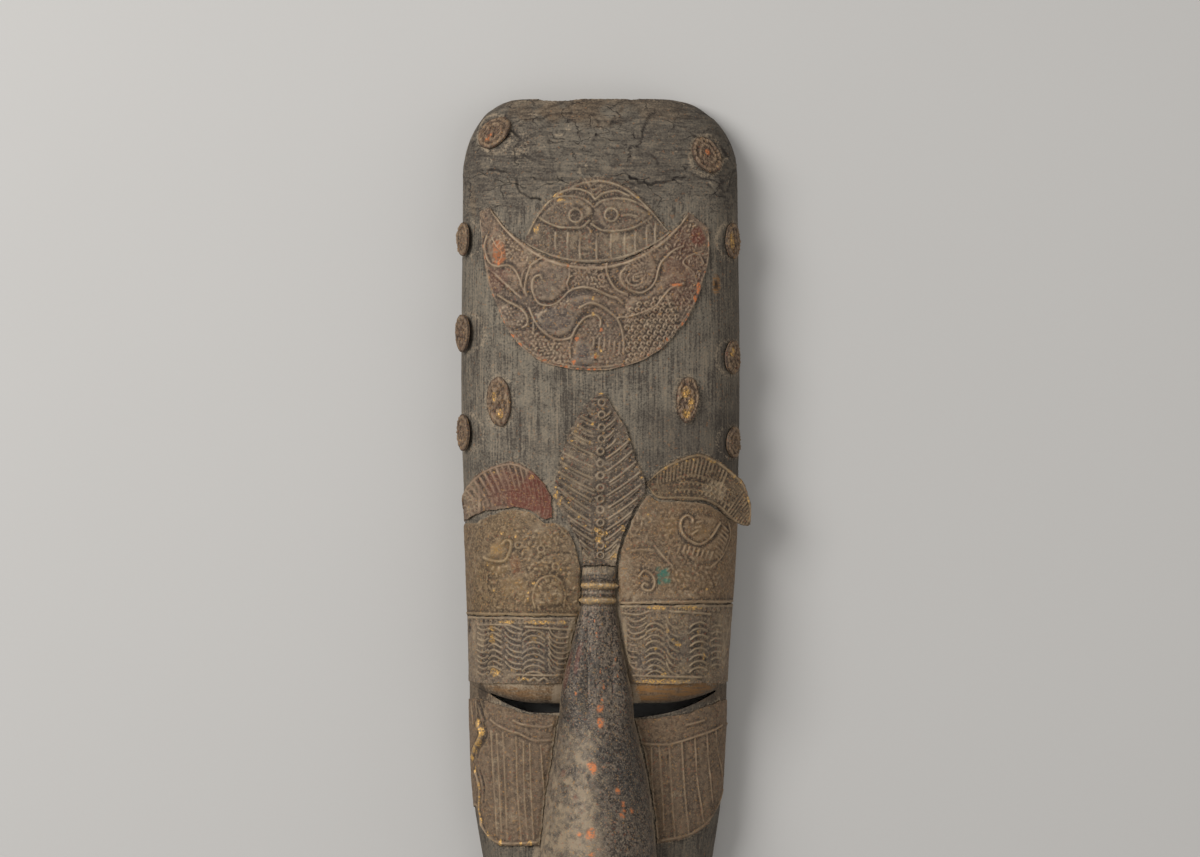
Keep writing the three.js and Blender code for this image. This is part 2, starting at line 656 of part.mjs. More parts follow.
// Past the start of the overhang the sheet leaves the wood and runs straight out.
function overhanging(x, y, height) {
  if (x <= OVERHANG.start) return onWood(...spot(x, y), height);
  const hinge = overhanging(OVERHANG.start, y, height);
  const past = x - OVERHANG.start;
  return hinge.add(new THREE.Vector3(past, 0, -past * OVERHANG.fall));
}

function browPlate({ top, bottom }, place, ground) {
  const [upper, lower] = [route(top), route(bottom)];
  return sheet({
    place: (u, v) => {
      const [a, b] = [upper(u), lower(u)];
      return place(lerp(a[0], b[0], v), lerp(a[1], b[1], v));
    },
    along: spread(0, 1, BROW.steps),
    over: [0, BROW.border, 1 - BROW.border, 1],
    backAlong: spread(0, 1, BROW.backSteps),
    backOver: spread(0, 1, 3),
    ground,
    rise: (u, v) => (Math.round(u * BROW.steps) % 2 === 1 && v > 0 && v < 1 ? BROW.hatch : 0),
  });
}

// An edge that starts round the side at the wrap, and then runs in along its points.
function wrappedEdge(points, side, wrapped) {
  const inland = onFace(points);
  const [start, height] = inland(0);
  return (u) => {
    if (u < wrapped) return [lerp(side * WRAP, start, u / wrapped), height];
    return inland((u - wrapped) / (1 - wrapped));
  };
}

function lidPlate({ side, foot, innerFoot, top, marks }) {
  const { wrapped, wrapSteps, steps, proud } = LID_SHEET;
  const inner = spot(innerFoot, foot)[0];
  const lower = (u) => [lerp(side * WRAP, inner, u), foot];
  const along = [...spread(0, wrapped, wrapSteps).slice(0, wrapSteps), ...spread(wrapped, 1, steps)];
  const place = between(wrappedEdge(top, side, wrapped), lower);
  return linedPlate(place, along, spread(0, 1, LID_SHEET.across), marks, proud);
}

// The band of combed waves: every stroke rises and sags across the sheet.
function bandPlate({ side, head, innerTop, innerFoot, crest, pitch }) {
  const { foot, outer, inner, strokes, frame, fade, wave, margin } = BAND;
  const inwards = (y) => spot(lerp(innerTop, innerFoot, (head - y) / (head - foot)), y)[0];
  const place = (u, v) => {
    const past = lerp(outer, inner, v) - crest;
    const begin = smoothstep(u, frame - fade / 4, frame + fade * 0.75);
    const end = smoothstep(1 - u, frame - fade / 4, frame + fade * 0.75);
    const y = lerp(head, foot, u) + begin * end * wave * Math.cos(past / pitch * 2 * Math.PI);
    return [lerp(side * WRAP, inwards(y), v), y];
  };
  const combed = spread(frame, 1 - frame, strokes * 2);
  const crests = combed.filter((_, i) => i % 2 === 1);
  return sheet({
    place,
    along: [0, ...combed, 1],
    over: [0, margin, ...spread(0.1, 0.9, BAND.columns - 4), 1 - margin, 1],
    backAlong: [0, 0.3, 0.6, 0.8, 0.92, 1],
    backOver: spread(0, 1, BAND.columns),
    rise: (u, v) => (crests.includes(u) && v >= margin && v <= 1 - margin ? BAND.strokeRise : 0),
  });
}

function cheekPlate({ side, top, foot, ridges, line }) {
  const { wrapped, wrapSteps, halfRidge, halfLine, high } = CHEEK;
  const wrap = spread(0, wrapped, wrapSteps);
  const flanked = ridges.flatMap((at) => [at - halfRidge, at, at + halfRidge]);
  return sheet({
    place: between(wrappedEdge(top, side, wrapped), wrappedEdge(foot, side, wrapped)),
    along: [...wrap, ...flanked, 0.94, 1],
    over: [0, line - halfLine, line, line + halfLine, 0.65, 1],
    backAlong: [...wrap, ...spread(0.22, 1, 8)],
    backOver: spread(0, 1, 5),
    rise: (u, v) => ((ridges.includes(u) && v >= line) || (v === line && u > wrapped) ? high : 0),
  });
}

function noseSheath() {
  const [head, tip] = [NOSE_ROWS[0], NOSE_ROWS[NOSE_ROWS.length - 1]];
  const station = (row) => (head - row) / (head - tip);
  const place = (u, v) => {
    const y = lerp(head, tip, u);
    const reach = noseReach(y) * (v > 0 && v < 1 ? 1 : SHEATH.edge);
    return [acrossAt(noseMid(y) - reach * Math.cos(v * Math.PI), y), y];
  };
  const along = NOSE_ROWS.map(station);
  const over = spread(0, 1, NOSE_COLUMNS);
  const collar = SHEATH.collar.map(station);
  const rise = (u) => (collar.includes(u) ? SHEATH.collarRise : 0);
  return sheet({ place, along, over, backAlong: along, backOver: over, rise });
}

// An oval medallion beaten flat on the wood, with a raised rim and a boss.
function rosette({ x, y, half, tall, turn, loose = 0 }) {
  const shell = new Shell();
  const across = acrossAt(x, y);
  const normal = outward(across, y);
  const centre = skin(across, y);
  const upAxis = new THREE.Vector3(0, 1, 0).addScaledVector(normal, -normal.y).normalize();
  const sideAxis = upAxis.clone().cross(normal);
  const { sides, foot, rim, rimRise, dish, boss, bend } = ROSETTE;
  const rimPoint = (part, step, height) => {
    const angle = (step / sides) * 2 * Math.PI;
    const [a, b] = [part * half * Math.cos(angle), part * tall * Math.sin(angle)];
    const right = a * Math.cos(turn) - b * Math.sin(turn);
    const up = a * Math.sin(turn) + b * Math.cos(turn);
    const flat = centre.clone().addScaledVector(sideAxis, right).addScaledVector(upAxis, up);
    if (loose) return flat.addScaledVector(normal, height + loose);
    const slip = skin(across + right / bend, y + up).sub(flat).dot(normal);
    return flat.addScaledVector(normal, slip + height);
  };
  const face = foot + SHEET;
  const profile = [[1, foot], [1, face], [rim, face + rimRise], [dish, face]];
  const steps = spread(0, sides - 1, sides - 1);
  const rings = profile.map(([part, height]) => steps.map((k) => shell.point(rimPoint(part, k, height))));
  const closed = rings.map((row) => [...row, row[0]]);
  shell.cover(closed);
  const top = shell.point(rimPoint(0, 0, face + boss));
  const under = shell.point(rimPoint(0, 0, foot));
  steps.forEach((i) => {
    shell.faces.push(closed[3][i], closed[3][i + 1], top);
    shell.faces.push(closed[0][i + 1], closed[0][i], under);
  });
  return shell.solid();
}

const WOOD = new THREE.MeshStandardMaterial({ color: 0x675e55, roughness: 0.85, metalness: 0 });
const COPPER = new THREE.MeshStandardMaterial({ color: 0x6e5a48, roughness: 0.6, metalness: 0.7 });
const DARK_COPPER = new THREE.MeshStandardMaterial({ color: 0x4c4440, roughness: 0.45, metalness: 0.7 });
const BRASS = new THREE.MeshStandardMaterial({ color: 0x80683f, roughness: 0.55, metalness: 0.75 });
const RED_COPPER = new THREE.MeshStandardMaterial({ color: 0x5e372f, roughness: 0.7, metalness: 0.3 });

const mask = new THREE.Group();

function addPiece(name, solid, material) {
  const { vertProperties, triVerts } = solid.getMesh();
  const geometry = new THREE.BufferGeometry();
  geometry.setAttribute('position', new THREE.Float32BufferAttribute(vertProperties, 3));
  geometry.setIndex(Array.from(triVerts));
  const piece = new THREE.Mesh(geometry, material);
  piece.name = name;
  mask.add(piece);
}

const hollowed = outerBody().subtract(innerHollow());
const body = hollowed.subtract(slitCutter(SLIT_LEFT)).subtract(slitCutter(SLIT_RIGHT));
const leftOnWood = (x, y) => [Math.max(acrossAt(x, y), -WRAP), y];
const asSeen = (x, y) => [x, y];

addPiece('mask_body', body, WOOD);
addPiece('crescent_plate', crescentPlate(), COPPER);
addPiece('face_plaque', facePlaque(), COPPER);
addPiece('leaf_plate', leafPlate(), COPPER);
addPiece('eyebrow_plate_left', browPlate(BROW_LEFT, leftOnWood, onWood), RED_COPPER);
addPiece('eyebrow_plate_right', browPlate(BROW_RIGHT, asSeen, overhanging), COPPER);
addPiece('eyelid_plate_left', lidPlate(LID_LEFT), COPPER);
addPiece('eyelid_plate_right', lidPlate(LID_RIGHT), COPPER);
addPiece('eye_band_left', bandPlate(BAND_LEFT), BRASS);
addPiece('eye_band_right', bandPlate(BAND_RIGHT), BRASS);
addPiece('cheek_plate_left', cheekPlate(CHEEK_LEFT), COPPER);
addPiece('cheek_plate_right', cheekPlate(CHEEK_RIGHT), COPPER);
addPiece('nose_sheath', noseSheath(), DARK_COPPER);
ROSETTES.forEach((sizes) => addPiece(sizes.name, rosette(sizes), BRASS));

export default mask;
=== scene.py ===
"""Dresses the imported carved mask: beaten metal sheets on dry, cracked wood.

Sizes are in millimetres until a mesh is made. They are given as seen from the front of the mask:
x to the viewer's right, y up the face. Unrolled sizes run along the wood's surface instead of x.
"""

import logging
import math
from dataclasses import dataclass
from enum import Enum
from typing import Iterator, Sequence

import bpy
import numpy as np
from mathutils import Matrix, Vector


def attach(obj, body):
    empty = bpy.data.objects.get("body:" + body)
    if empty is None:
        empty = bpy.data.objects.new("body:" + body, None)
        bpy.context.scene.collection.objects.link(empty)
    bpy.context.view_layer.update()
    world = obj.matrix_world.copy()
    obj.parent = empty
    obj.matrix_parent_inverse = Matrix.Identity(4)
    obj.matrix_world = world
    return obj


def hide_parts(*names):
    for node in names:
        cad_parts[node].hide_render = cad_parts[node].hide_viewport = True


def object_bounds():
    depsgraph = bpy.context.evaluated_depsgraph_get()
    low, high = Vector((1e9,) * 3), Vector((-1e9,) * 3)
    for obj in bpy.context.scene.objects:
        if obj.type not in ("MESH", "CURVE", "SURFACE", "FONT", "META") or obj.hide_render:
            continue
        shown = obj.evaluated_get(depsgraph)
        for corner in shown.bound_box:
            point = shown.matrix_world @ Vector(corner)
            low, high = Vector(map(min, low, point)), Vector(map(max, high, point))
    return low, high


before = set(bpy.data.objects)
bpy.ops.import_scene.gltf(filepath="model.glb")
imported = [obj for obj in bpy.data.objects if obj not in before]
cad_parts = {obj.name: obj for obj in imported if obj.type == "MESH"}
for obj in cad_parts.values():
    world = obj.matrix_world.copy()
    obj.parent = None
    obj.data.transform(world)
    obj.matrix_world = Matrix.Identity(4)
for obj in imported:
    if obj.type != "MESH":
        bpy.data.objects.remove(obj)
cad_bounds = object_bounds()

Array = np.ndarray
Pair = tuple[Array, Array]
Point = tuple[float, float]
Line = Sequence[Point]
Row = tuple[float, ...]
Colour = tuple[float, float, float]

MILLIMETRE = 0.001
SHEET = 1.2
GAP = 0.5
WRAP = 0.87
WELD = 1e-4
SHEET_MARKS = ("raised", "hollow", "gold", "copper", "paint", "green", "dust", "cool")
WOOD_MARKS = ("level", "hollow", "bare", "shade", "dust", "glaze")
CAD_BOX = np.array(cad_bounds) / MILLIMETRE

log = logging.getLogger("mask")


def smooth(value: Array, low: float, high: float) -> Array:
    """Eases from 0 at low to 1 at high."""
    part = np.clip((np.asarray(value, float) - low) / (high - low), 0, 1)
    return part * part * (3 - 2 * part)


def ridge(values: Array, middle: float, wide: float) -> Array:
    """Gives a rounded ridge, 1 at its middle."""
    return np.exp(-(((values - middle) / wide) ** 2))


def srgb(red: float, green: float, blue: float) -> Colour:
    """Turns display values from 0 to 255 into the linear colour that the shader needs."""
    parts = [v / 255 for v in (red, green, blue)]
    return tuple(v / 12.92 if v <= 0.04045 else ((v + 0.055) / 1.055) ** 2.4 for v in parts)


class Curve:
    """Smooth line through rising stations and their values."""

    def __init__(self, pairs: Line) -> None:
        """Works out the slope at each station.

        Args:
            pairs: the stations and their values.
        """
        self.at, self.value = np.array(list(pairs), float).T
        index = np.arange(len(self.at))
        before, after = np.maximum(index - 1, 0), np.minimum(index + 1, len(index) - 1)
        self.slope = (self.value[after] - self.value[before]) / (self.at[after] - self.at[before])

    def __call__(self, at: Array | float) -> Array:
        """Reads the line.

        Args:
            at: the stations to read.

        Returns:
            The values there.
        """
        at = np.asarray(at, float)
        i = np.clip(np.searchsorted(self.at, at, side="right") - 1, 0, len(self.at) - 2)
        step = self.at[i + 1] - self.at[i]
        t = np.clip((at - self.at[i]) / step, 0, 1)
        leave = t * (1 - t) ** 2 * step * self.slope[i]
        arrive = t * t * (t - 1) * step * self.slope[i + 1]
        rise = (self.value[i + 1] - self.value[i]) * t * t * (3 - 2 * t)
        return self.value[i] + rise + leave + arrive


class Route:
    """Smooth plane route through points, from 0 at its start to 1 at its end."""

    def __init__(self, points: Line) -> None:
        """Measures the route.

        Args:
            points: the points that it goes through.
        """
        p = np.array(points, float)
        far = np.concatenate([[0.0], np.cumsum(np.hypot(*np.diff(p, axis=0).T))])
        self.length = float(far[-1])
        self.x = Curve(list(zip(far / self.length, p[:, 0])))
        self.y = Curve(list(zip(far / self.length, p[:, 1])))

    def __call__(self, u: Array) -> Pair:
        """Gives the x and y of the stations u."""
        return self.x(u), self.y(u)


def clouds(shape: tuple[int, int], cell: tuple[float, float], seed: int) -> Array:
    """Makes smooth unevenness from -1 to 1 over a grid.

    Args:
        shape: the grid's rows and columns.
        cell: the size of its swells in rows and columns.
        seed: what the pattern grows from.

    Returns:
        The grid's values.
    """
    rng = np.random.default_rng(seed)
    weights = []
    for count, size in zip(shape, cell):
        at = np.arange(count) / size
        base = np.floor(at).astype(int)
        t = at - base
        spans = [(1 - t) ** 3, 3 * t**3 - 6 * t**2 + 4, -3 * t**3 + 3 * t**2 + 3 * t + 1, t**3]
        matrix = np.zeros((count, base[-1] + 4))
        for k, span in enumerate(spans):
            matrix[np.arange(count), base + k] = span / 6
        weights.append(matrix)
    knots = rng.uniform(-1.9, 1.9, (weights[0].shape[1], weights[1].shape[1]))
    return weights[0] @ knots @ weights[1].T


def blurred(values: Array, reach: int) -> Array:
    """Softens a grid with two passes of a square window.

    Args:
        values: the grid.
        reach: how many cells the window reaches each way.

    Returns:
        The softened grid.
    """
    for _ in range(2):
        for axis in (0, 1):
            pad = [(reach + 1, reach) if a == axis else (0, 0) for a in (0, 1)]
            total = np.cumsum(np.pad(values, pad, mode="edge"), axis=axis)
            size = values.shape[axis]
            ahead = np.take(total, np.arange(2 * reach + 1, 2 * reach + 1 + size), axis=axis)
            values = (ahead - np.take(total, np.arange(size), axis=axis)) / (2 * reach + 1)
    return values


@dataclass
class Face:
    """The wood's carved face. Across runs from -1 at the left rim to 1 at the right one."""

    top: float = 320.0
    squareness: float = 3.0
    shoulder: float = 0.55
    corner: float = 268.0
    flats: Point = (54.0, 44.0)
    rounds: Point = (37.6, 47.6)
    width_line: Line = (
        (-320, 8), (-316.5, 17), (-308, 28.5), (-294, 40.5), (-275, 51.5), (-250, 61), (-220, 69.5),
        (-182, 77), (-145, 82.5), (-100, 85), (-52, 86), (28, 90), (115, 92.6), (268, 91.6),
    )
    crown_line: Line = (
        (-320, 15), (-314, 27), (-302, 39), (-284, 48), (-255, 51), (-200, 51), (-140, 52), (-90, 54.5),
        (-55, 58), (-15, 61.5), (30, 64), (100, 64.5), (200, 63), (245, 60), (275, 54), (296, 45), (310, 36),
        (320, 25),
    )
    axis_line: Line = ((-320, 0), (-180, -1.6), (-80, -1.4), (28, 0.4), (320, 0))
    nose_half_line: Line = (
        (-205, 40), (-180, 38), (-134, 32.6), (-92, 24.4), (-73, 22.6), (-47, 16.6), (-14, 10.4), (9, 10.2),
    )
    nose_mid_line: Line = ((-205, -1.4), (-134, -0.8), (-73, -2.6), (-40, -2), (9, -0.4))
    nose_rise_line: Line = (
        (-205, 53), (-180, 50), (-140, 42.5), (-100, 33), (-70, 24.5), (-40, 16), (-14, 10.5), (9, 8),
    )
    tip_start: float = -205.0
    tip: float = 33.0
    roundness: float = 2.3
    slit_level: float = -81.0
    slit_bend: Point = (38.0, 0.0055)
    lid_rise: float = 11.5
    lid_curl: float = 12.0
    lid_middle: float = 51.0
    lid_half: float = 43.0
    lid_fade: Point = (-40.0, 55.0)
    mouth_level: float = -259.0
    mouth_half: float = 42.0
    lip_rise: float = 6.0
    lip_gap: float = 8.0
    lip_wide: float = 5.5
    groove: Point = (5.0, 2.6)
    table_width: float = 88.0
    table_crown: float = 62.0

    def __post_init__(self) -> None:
        """Makes the smooth lines and the table that unrolls a section."""
        self.width, self.crown = Curve(self.width_line), Curve(self.crown_line)
        self.axis, self.nose_half = Curve(self.axis_line), Curve(self.nose_half_line)
        self.nose_mid, self.nose_rise = Curve(self.nose_mid_line), Curve(self.nose_rise_line)
        self.table_across = np.linspace(0, 1, 2001) ** 1.5
        turn = (1 - self.table_across) * math.pi / 2
        x = self.table_width * np.cos(turn) ** (2 / self.squareness)
        z = self.table_crown * np.sin(turn) ** (2 / self.squareness)
        steps = np.hypot(np.diff(x), np.diff(z))
        self.table_far = np.concatenate([[0.0], np.cumsum(steps)])

    def half_width(self, y: Array, side: Array) -> Array:
        """Gives the half width at height y on a side, -1 for the left."""
        flat = np.where(side < 0, self.flats[0], self.flats[1])
        round_ = np.where(side < 0, self.rounds[0], self.rounds[1])
        part = np.clip((y - self.corner) / (self.top - self.corner), 0, 1)
        return np.where(y < self.corner, self.width(y), flat + round_ * np.sqrt(1 - part**2))

    def slit_top(self, x: Array) -> Array:
        """Gives the height of the eye slits' upper edge."""
        start, bend = self.slit_bend
        return self.slit_level + bend * np.maximum(0, np.abs(x) - start) ** 2

    def lid_swell(self, x: Array, y: Array) -> Array:
        """Gives how far the eyelids bulge."""
        above = np.maximum(y - self.slit_top(x), 0)
        curl = np.sqrt(1 - (1 - np.minimum(above / self.lid_curl, 1)) ** 2)
        pillow = np.maximum(0, 1 - np.abs((np.abs(x) - self.lid_middle) / self.lid_half) ** 2.5)
        return self.lid_rise * curl * (1 - smooth(y, *self.lid_fade)) * pillow

    def nose_end(self, y: Array) -> Array:
        """Gives the share of the nose's girth that is left as its tip rounds under."""
        past = np.clip((self.tip_start - y) / self.tip, 0, 1)
        return np.sqrt(1 - past**self.roundness)

    def nose_reach(self, y: Array) -> Array:
        """Gives the nose's half width."""
        return self.nose_half(y) * self.nose_end(y)

    def nose_swell(self, x: Array, y: Array) -> Array:
        """Gives how far the nose stands out."""
        across = np.abs((x - self.nose_mid(y)) / np.maximum(self.nose_reach(y), 1))
        begin = (1 - smooth(y, 5, 15)) * (y >= self.tip_start - self.tip)
        dome = np.sqrt(1 - np.minimum(across, 1) ** self.roundness)
        return self.nose_rise(y) * self.nose_end(y) * begin * dome

    def mouth(self, x: Array, y: Array) -> Array:
        """Gives the lips and the groove between them."""
        window = np.maximum(0, 1 - (x / self.mouth_half) ** 2)
        off = y - self.mouth_level - 0.005 * x * x
        lips = ridge(off, self.lip_gap, self.lip_wide) + ridge(off, -self.lip_gap, self.lip_wide)
        return window * (self.lip_rise * lips - self.groove[0] * ridge(off, 0, self.groove[1]))

    def skin(self, across: Array, y: Array) -> Array:
        """Gives points of the wood's face.

        Args:
            across: the places across the face.
            y: the heights.

        Returns:
            The points, with x, y and z last.
        """
        across, y = np.broadcast_arrays(np.asarray(across, float), np.asarray(y, float))
        side = np.where(across < 0, -1.0, 1.0)
        turn = (1 - np.minimum(np.abs(across), 1)) * math.pi / 2
        x = self.axis(y) + side * self.half_width(y, side) * np.cos(turn) ** (2 / self.squareness)
        up = np.sin(turn) ** (2 / self.squareness)
        carved = self.lid_swell(x, y) + self.nose_swell(x, y) + self.mouth(x, y)
        return np.stack([x, y, self.crown(y) * up + carved * smooth(up, 0, self.shoulder)], axis=-1)

    def across_at(self, x: Array, y: Array) -> Array:
        """Gives the place across the face of a point that is seen from the front."""
        off = np.asarray(x, float) - self.axis(y)
        part = np.clip(np.abs(off) / self.half_width(np.asarray(y, float), np.sign(off)), 0, 1)
        return np.sign(off) * (1 - np.arccos(part ** (self.squareness / 2)) / (math.pi / 2))

    def outward(self, across: Array, y: Array) -> Array:
        """Gives the directions straight out of the wood."""
        sideways = self.skin(across + 0.004, y) - self.skin(across - 0.004, y)
        upwards = self.skin(across, y + 0.4) - self.skin(across, y - 0.4)
        normal = np.cross(sideways, upwards)
        return normal / np.linalg.norm(normal, axis=-1, keepdims=True)

    def on_wood(self, across: Array, y: Array, height: Array) -> Array:
        """Gives the points that stand off the wood by a height."""
        lift = np.broadcast_to(np.asarray(height, float), np.shape(across))[..., None]
        return self.skin(across, y) + self.outward(across, y) * lift

    def unroll(self, across: Array, y: Array) -> Array:
        """Gives the distance from the middle along the surface."""
        side = np.where(np.asarray(across) < 0, -1.0, 1.0)
        far = np.interp(np.abs(across), self.table_across, self.table_far)
        return side * far * self.half_width(np.asarray(y, float), side) / self.table_width

    def roll(self, far: Array, y: Array) -> Array:
        """Gives the place across the face at an unrolled distance from the middle."""
        side = np.where(np.asarray(far) < 0, -1.0, 1.0)
        reach = np.abs(far) * self.table_width / self.half_width(np.asarray(y, float), side)
        return side * np.interp(reach, self.table_far, self.table_across)

    def far_at(self, x: Array, y: Array) -> Array:
        """Gives the unrolled distance of a point that is seen from the front."""
        return self.unroll(self.across_at(x, y), y)

    def unrolled(self, points: Line) -> Array:
        """Turns points that are seen from the front into unrolled ones."""
        x, y = np.array(points, float).T
        return np.stack([self.far_at(x, y), y], axis=-1)


class Relief:
    """Heights and worn patches of a surface, drawn on a fine grid of its unrolled face."""

    boldness = 1.4
    step = 0.9
    wear_reach = 1.6
    worn_rise = 0.26
    hollow_depth = 0.2

    def __init__(self, face: Face, low: Point, high: Point, cell: float, seed: int) -> None:
        """Lays out an empty grid.

        Args:
            face: the wood's face, which unrolls the points.
            low: the grid's lowest unrolled distance and height.
            high: its highest ones.
            cell: its spacing.
            seed: what its unevenness grows from.
        """
        self.face, self.cell, self.seed = face, cell, seed
        self.rng = np.random.default_rng(seed)
        self.s, self.y = (l + np.arange(int((h - l) / cell) + 2) * cell for l, h in zip(low, high))
        shape = len(self.y), len(self.s)
        self.height, self.broad = np.zeros(shape), np.zeros(shape)
        self.steady = np.clip(0.8 + 0.42 * self.clouds(4, 4, 8), 0.3, 1.2)
        self.layers = {name: np.zeros(shape) for name in SHEET_MARKS}

    def clouds(self, across: float, up: float, seed: int) -> Array:
        """Makes unevenness with swells of a size in millimetres."""
        return clouds(self.height.shape, (up / self.cell, across / self.cell), self.seed * 31 + seed)

    def window(self, points: Array, reach: float) -> tuple[tuple[slice, slice], Array, Array]:
        """Finds the part of the grid around some points.

        Args:
            points: the unrolled points.
            reach: how far around them it goes.

        Returns:
            The part's slices, and the distances and heights of its cells.
        """
        spans = []
        for line, values in zip((self.s, self.y), points.T):
            ends = values.min() - reach, values.max() + reach
            first, last = (int((end - line[0]) / self.cell) for end in ends)
            spans.append(slice(*np.clip((first, last + 2), 0, len(line))))
        return (spans[1], spans[0]), self.s[spans[0]][None, :], self.y[spans[1]][:, None]

    def emboss(self, points: Array, wide: float, high: float, even: bool = False) -> None:
        """Raises a rounded line, or sinks one where the height is below zero.

        Args:
            points: the line's unrolled points.
            wide, high: its width and height.
            even: whether it is as high all along.
        """
        part, s, y = self.window(points, wide)
        least = np.full(np.broadcast(s, y).shape, 1e9)
        for (s0, y0), (s1, y1) in zip(points[:-1], points[1:]):
            ds, dy = s1 - s0, y1 - y0
            along = ((s - s0) * ds + (y - y0) * dy) / max(ds * ds + dy * dy, 1e-9)
            along = np.clip(along, 0, 1)
            least = np.minimum(least, (s - s0 - along * ds) ** 2 + (y - y0 - along * dy) ** 2)
        bump = np.cos(np.clip(np.sqrt(least) / wide, 0, 1) * math.pi / 2) ** 2 * high * self.boldness
        bump *= 1 if even else self.steady[part]
        old = self.height[part]
        self.height[part] = np.maximum(old, bump) if high > 0 else old + bump

    def line(self, points: Line, wide: float, high: float, flat: bool = False) -> None:
        """Embosses a smooth line.

        Args:
            points: the points that it goes through.
            wide, high: its width and height.
            flat: whether the points are unrolled already.
        """
        p = np.array(points, float) if flat else self.face.unrolled(points)
        if len(p) > 2:
            route = Route(p)
            p = np.stack(route(np.linspace(0, 1, max(3, int(route.length / self.step)))), axis=-1)
        self.emboss(p, wide, high)

    def lines(self, wide: float, high: float, *lines: Line) -> None:
        """Embosses smooth lines of one width and height."""
        for points in lines:
            self.line(points, wide, high)

    def ring(self, x: float, y: float, radius: float, wide: float = 1.0, high: float = 0.5) -> None:
        """Raises a ring around a point that is seen from the front."""
        turn = np.linspace(0, 2 * math.pi, 17)
        s = self.face.far_at(x, y) + radius * np.cos(turn)
        self.emboss(np.stack([s, y + radius * np.sin(turn)], axis=-1), wide, high)

    def ticks(self, x: float, y: float, radii: Point, turns: Array, size: Row, lean: float = 0.0) -> None:
        """Raises short strokes that stand round a point.

        Args:
            x, y: the point, seen from the front.
            radii: how far from it they start, sideways and upwards.
            turns: the angles that they stand at.
            size: their length, width and height.
            lean: how far they turn aside.
        """
        for turn in turns:
            a, b = x + radii[0] * math.cos(turn), y + radii[1] * math.sin(turn)
            end = (a + size[0] * math.cos(turn + lean), b + size[0] * math.sin(turn + lean))
            self.line(((a, b), end), size[1], size[2])

    def ladder(self, start: Point, end: Point, stroke: Point, count: int, wide: float = 1.0,
               high: float = 0.45) -> None:
        """Raises a row of equal strokes.

        Args:
            start, end: the middles of the first and the last stroke.
            stroke: how far each runs in x and y.
            count: how many there are.
            wide, high: their width and height.
        """
        half = np.array(stroke) / 2
        for t in np.linspace(0, 1, count):
            middle = np.array(start) + (np.array(end) - start) * t + self.rng.uniform(-0.2, 0.2, 2)
            self.line((middle - half, middle + half), wide, high)

    def inside(self, outline: Line) -> Array:
        """Finds the cells inside an outline that is seen from the front."""
        p = self.face.unrolled(outline)
        s, y = self.s[None, :], self.y[:, None]
        crossed = np.zeros(self.height.shape, bool)
        for (s0, y0), (s1, y1) in zip(p, np.roll(p, -1, axis=0)):
            if y0 != y1:
                crossed ^= ((y0 > y) != (y1 > y)) & (s < s0 + (y - y0) * (s1 - s0) / (y1 - y0))
        return crossed

    def swell(self, outline: Line, high: float, soft: float = 4.0) -> None:
        """Raises the inside of an outline like a cushion with a soft edge."""
        mask = blurred(self.inside(outline).astype(float), max(1, int(soft / self.cell / 2)))
        self.broad += high * smooth(mask, 0.05, 1)

    def spots(self, outline: Line, pitch: float, rows: float, loose: float) -> Iterator[Point]:
        """Finds loosely spaced unrolled places in rows inside an outline.

        Args:
            outline: the outline's corners.
            pitch: the places' spacing.
            rows: the rows' spacing, as a share of it.
            loose: how far they stray, as a share of it.

        Yields:
            The places.
        """
        inside, p = self.inside(outline), self.face.unrolled(outline)
        for row, y in enumerate(np.arange(p[:, 1].min(), p[:, 1].max(), pitch * rows)):
            for s in np.arange(p[:, 0].min() + (row % 2) * pitch / 2, p[:, 0].max(), pitch):
                ps, py = np.array([s, y]) + self.rng.uniform(-loose, loose, 2) * pitch
                i, j = int((py - self.y[0]) / self.cell), int((ps - self.s[0]) / self.cell)
                if 0 <= i < inside.shape[0] and 0 <= j < inside.shape[1] and inside[i, j]:
                    yield ps, py

    def stipple(self, outline: Line, pitch: float, wide: float, high: float, dash: float = 0.0) -> None:
        """Fills an outline with small punched bumps.

        Args:
            outline: the outline's corners.
            pitch: the bumps' spacing.
            wide, high: their width and height.
            dash: how long they are drawn out.
        """
        for s, y in self.spots(outline, pitch, 0.87, 0.22):
            angle = self.rng.uniform(0, math.pi)
            ds, dy = dash / 2 * math.cos(angle), dash / 2 * math.sin(angle)
            rise = high * self.rng.uniform(0.6, 1.1)
            self.line(((s - ds, y - dy), (s + ds + 1e-3, y + dy)), wide, rise, True)

    def patches(self, layer: str, *spots: Row, strength: float = 1.0, flat: bool = False) -> None:
        """Puts worn patches with uneven edges on a layer.

        Args:
            layer: the layer's name.
            spots: each patch's middle, half width and half height, and its own strength if it has one.
            strength: how strong the others are in their middle.
            flat: whether the middles are unrolled already.
        """
        for x, y, wide, tall, *own in spots:
            s = x if flat else self.face.far_at(x, y)
            part, gs, gy = self.window(np.array([[s, y]]), max(wide, tall) * 1.6)
            far = np.sqrt(((gs - s) / wide) ** 2 + ((gy - y) / tall) ** 2)
            if far.size:
                ragged = clouds(far.shape, (max(tall, 1) / self.cell / 2,) * 2, int(s * 7 + y * 13) % 9973)
                mask = (1 - smooth(far + ragged * 0.35, 0.7, 1.15)) * (own[0] if own else strength)
                self.layers[layer][part] = np.maximum(self.layers[layer][part], mask)

    def specks(self, size: float, *spots: Point) -> None:
        """Puts small golden specks on the surface."""
        for x, y in spots:
            stretch = self.rng.uniform(0.6, 1.3)
            self.patches("gold", (x, y, size * stretch, size / stretch))

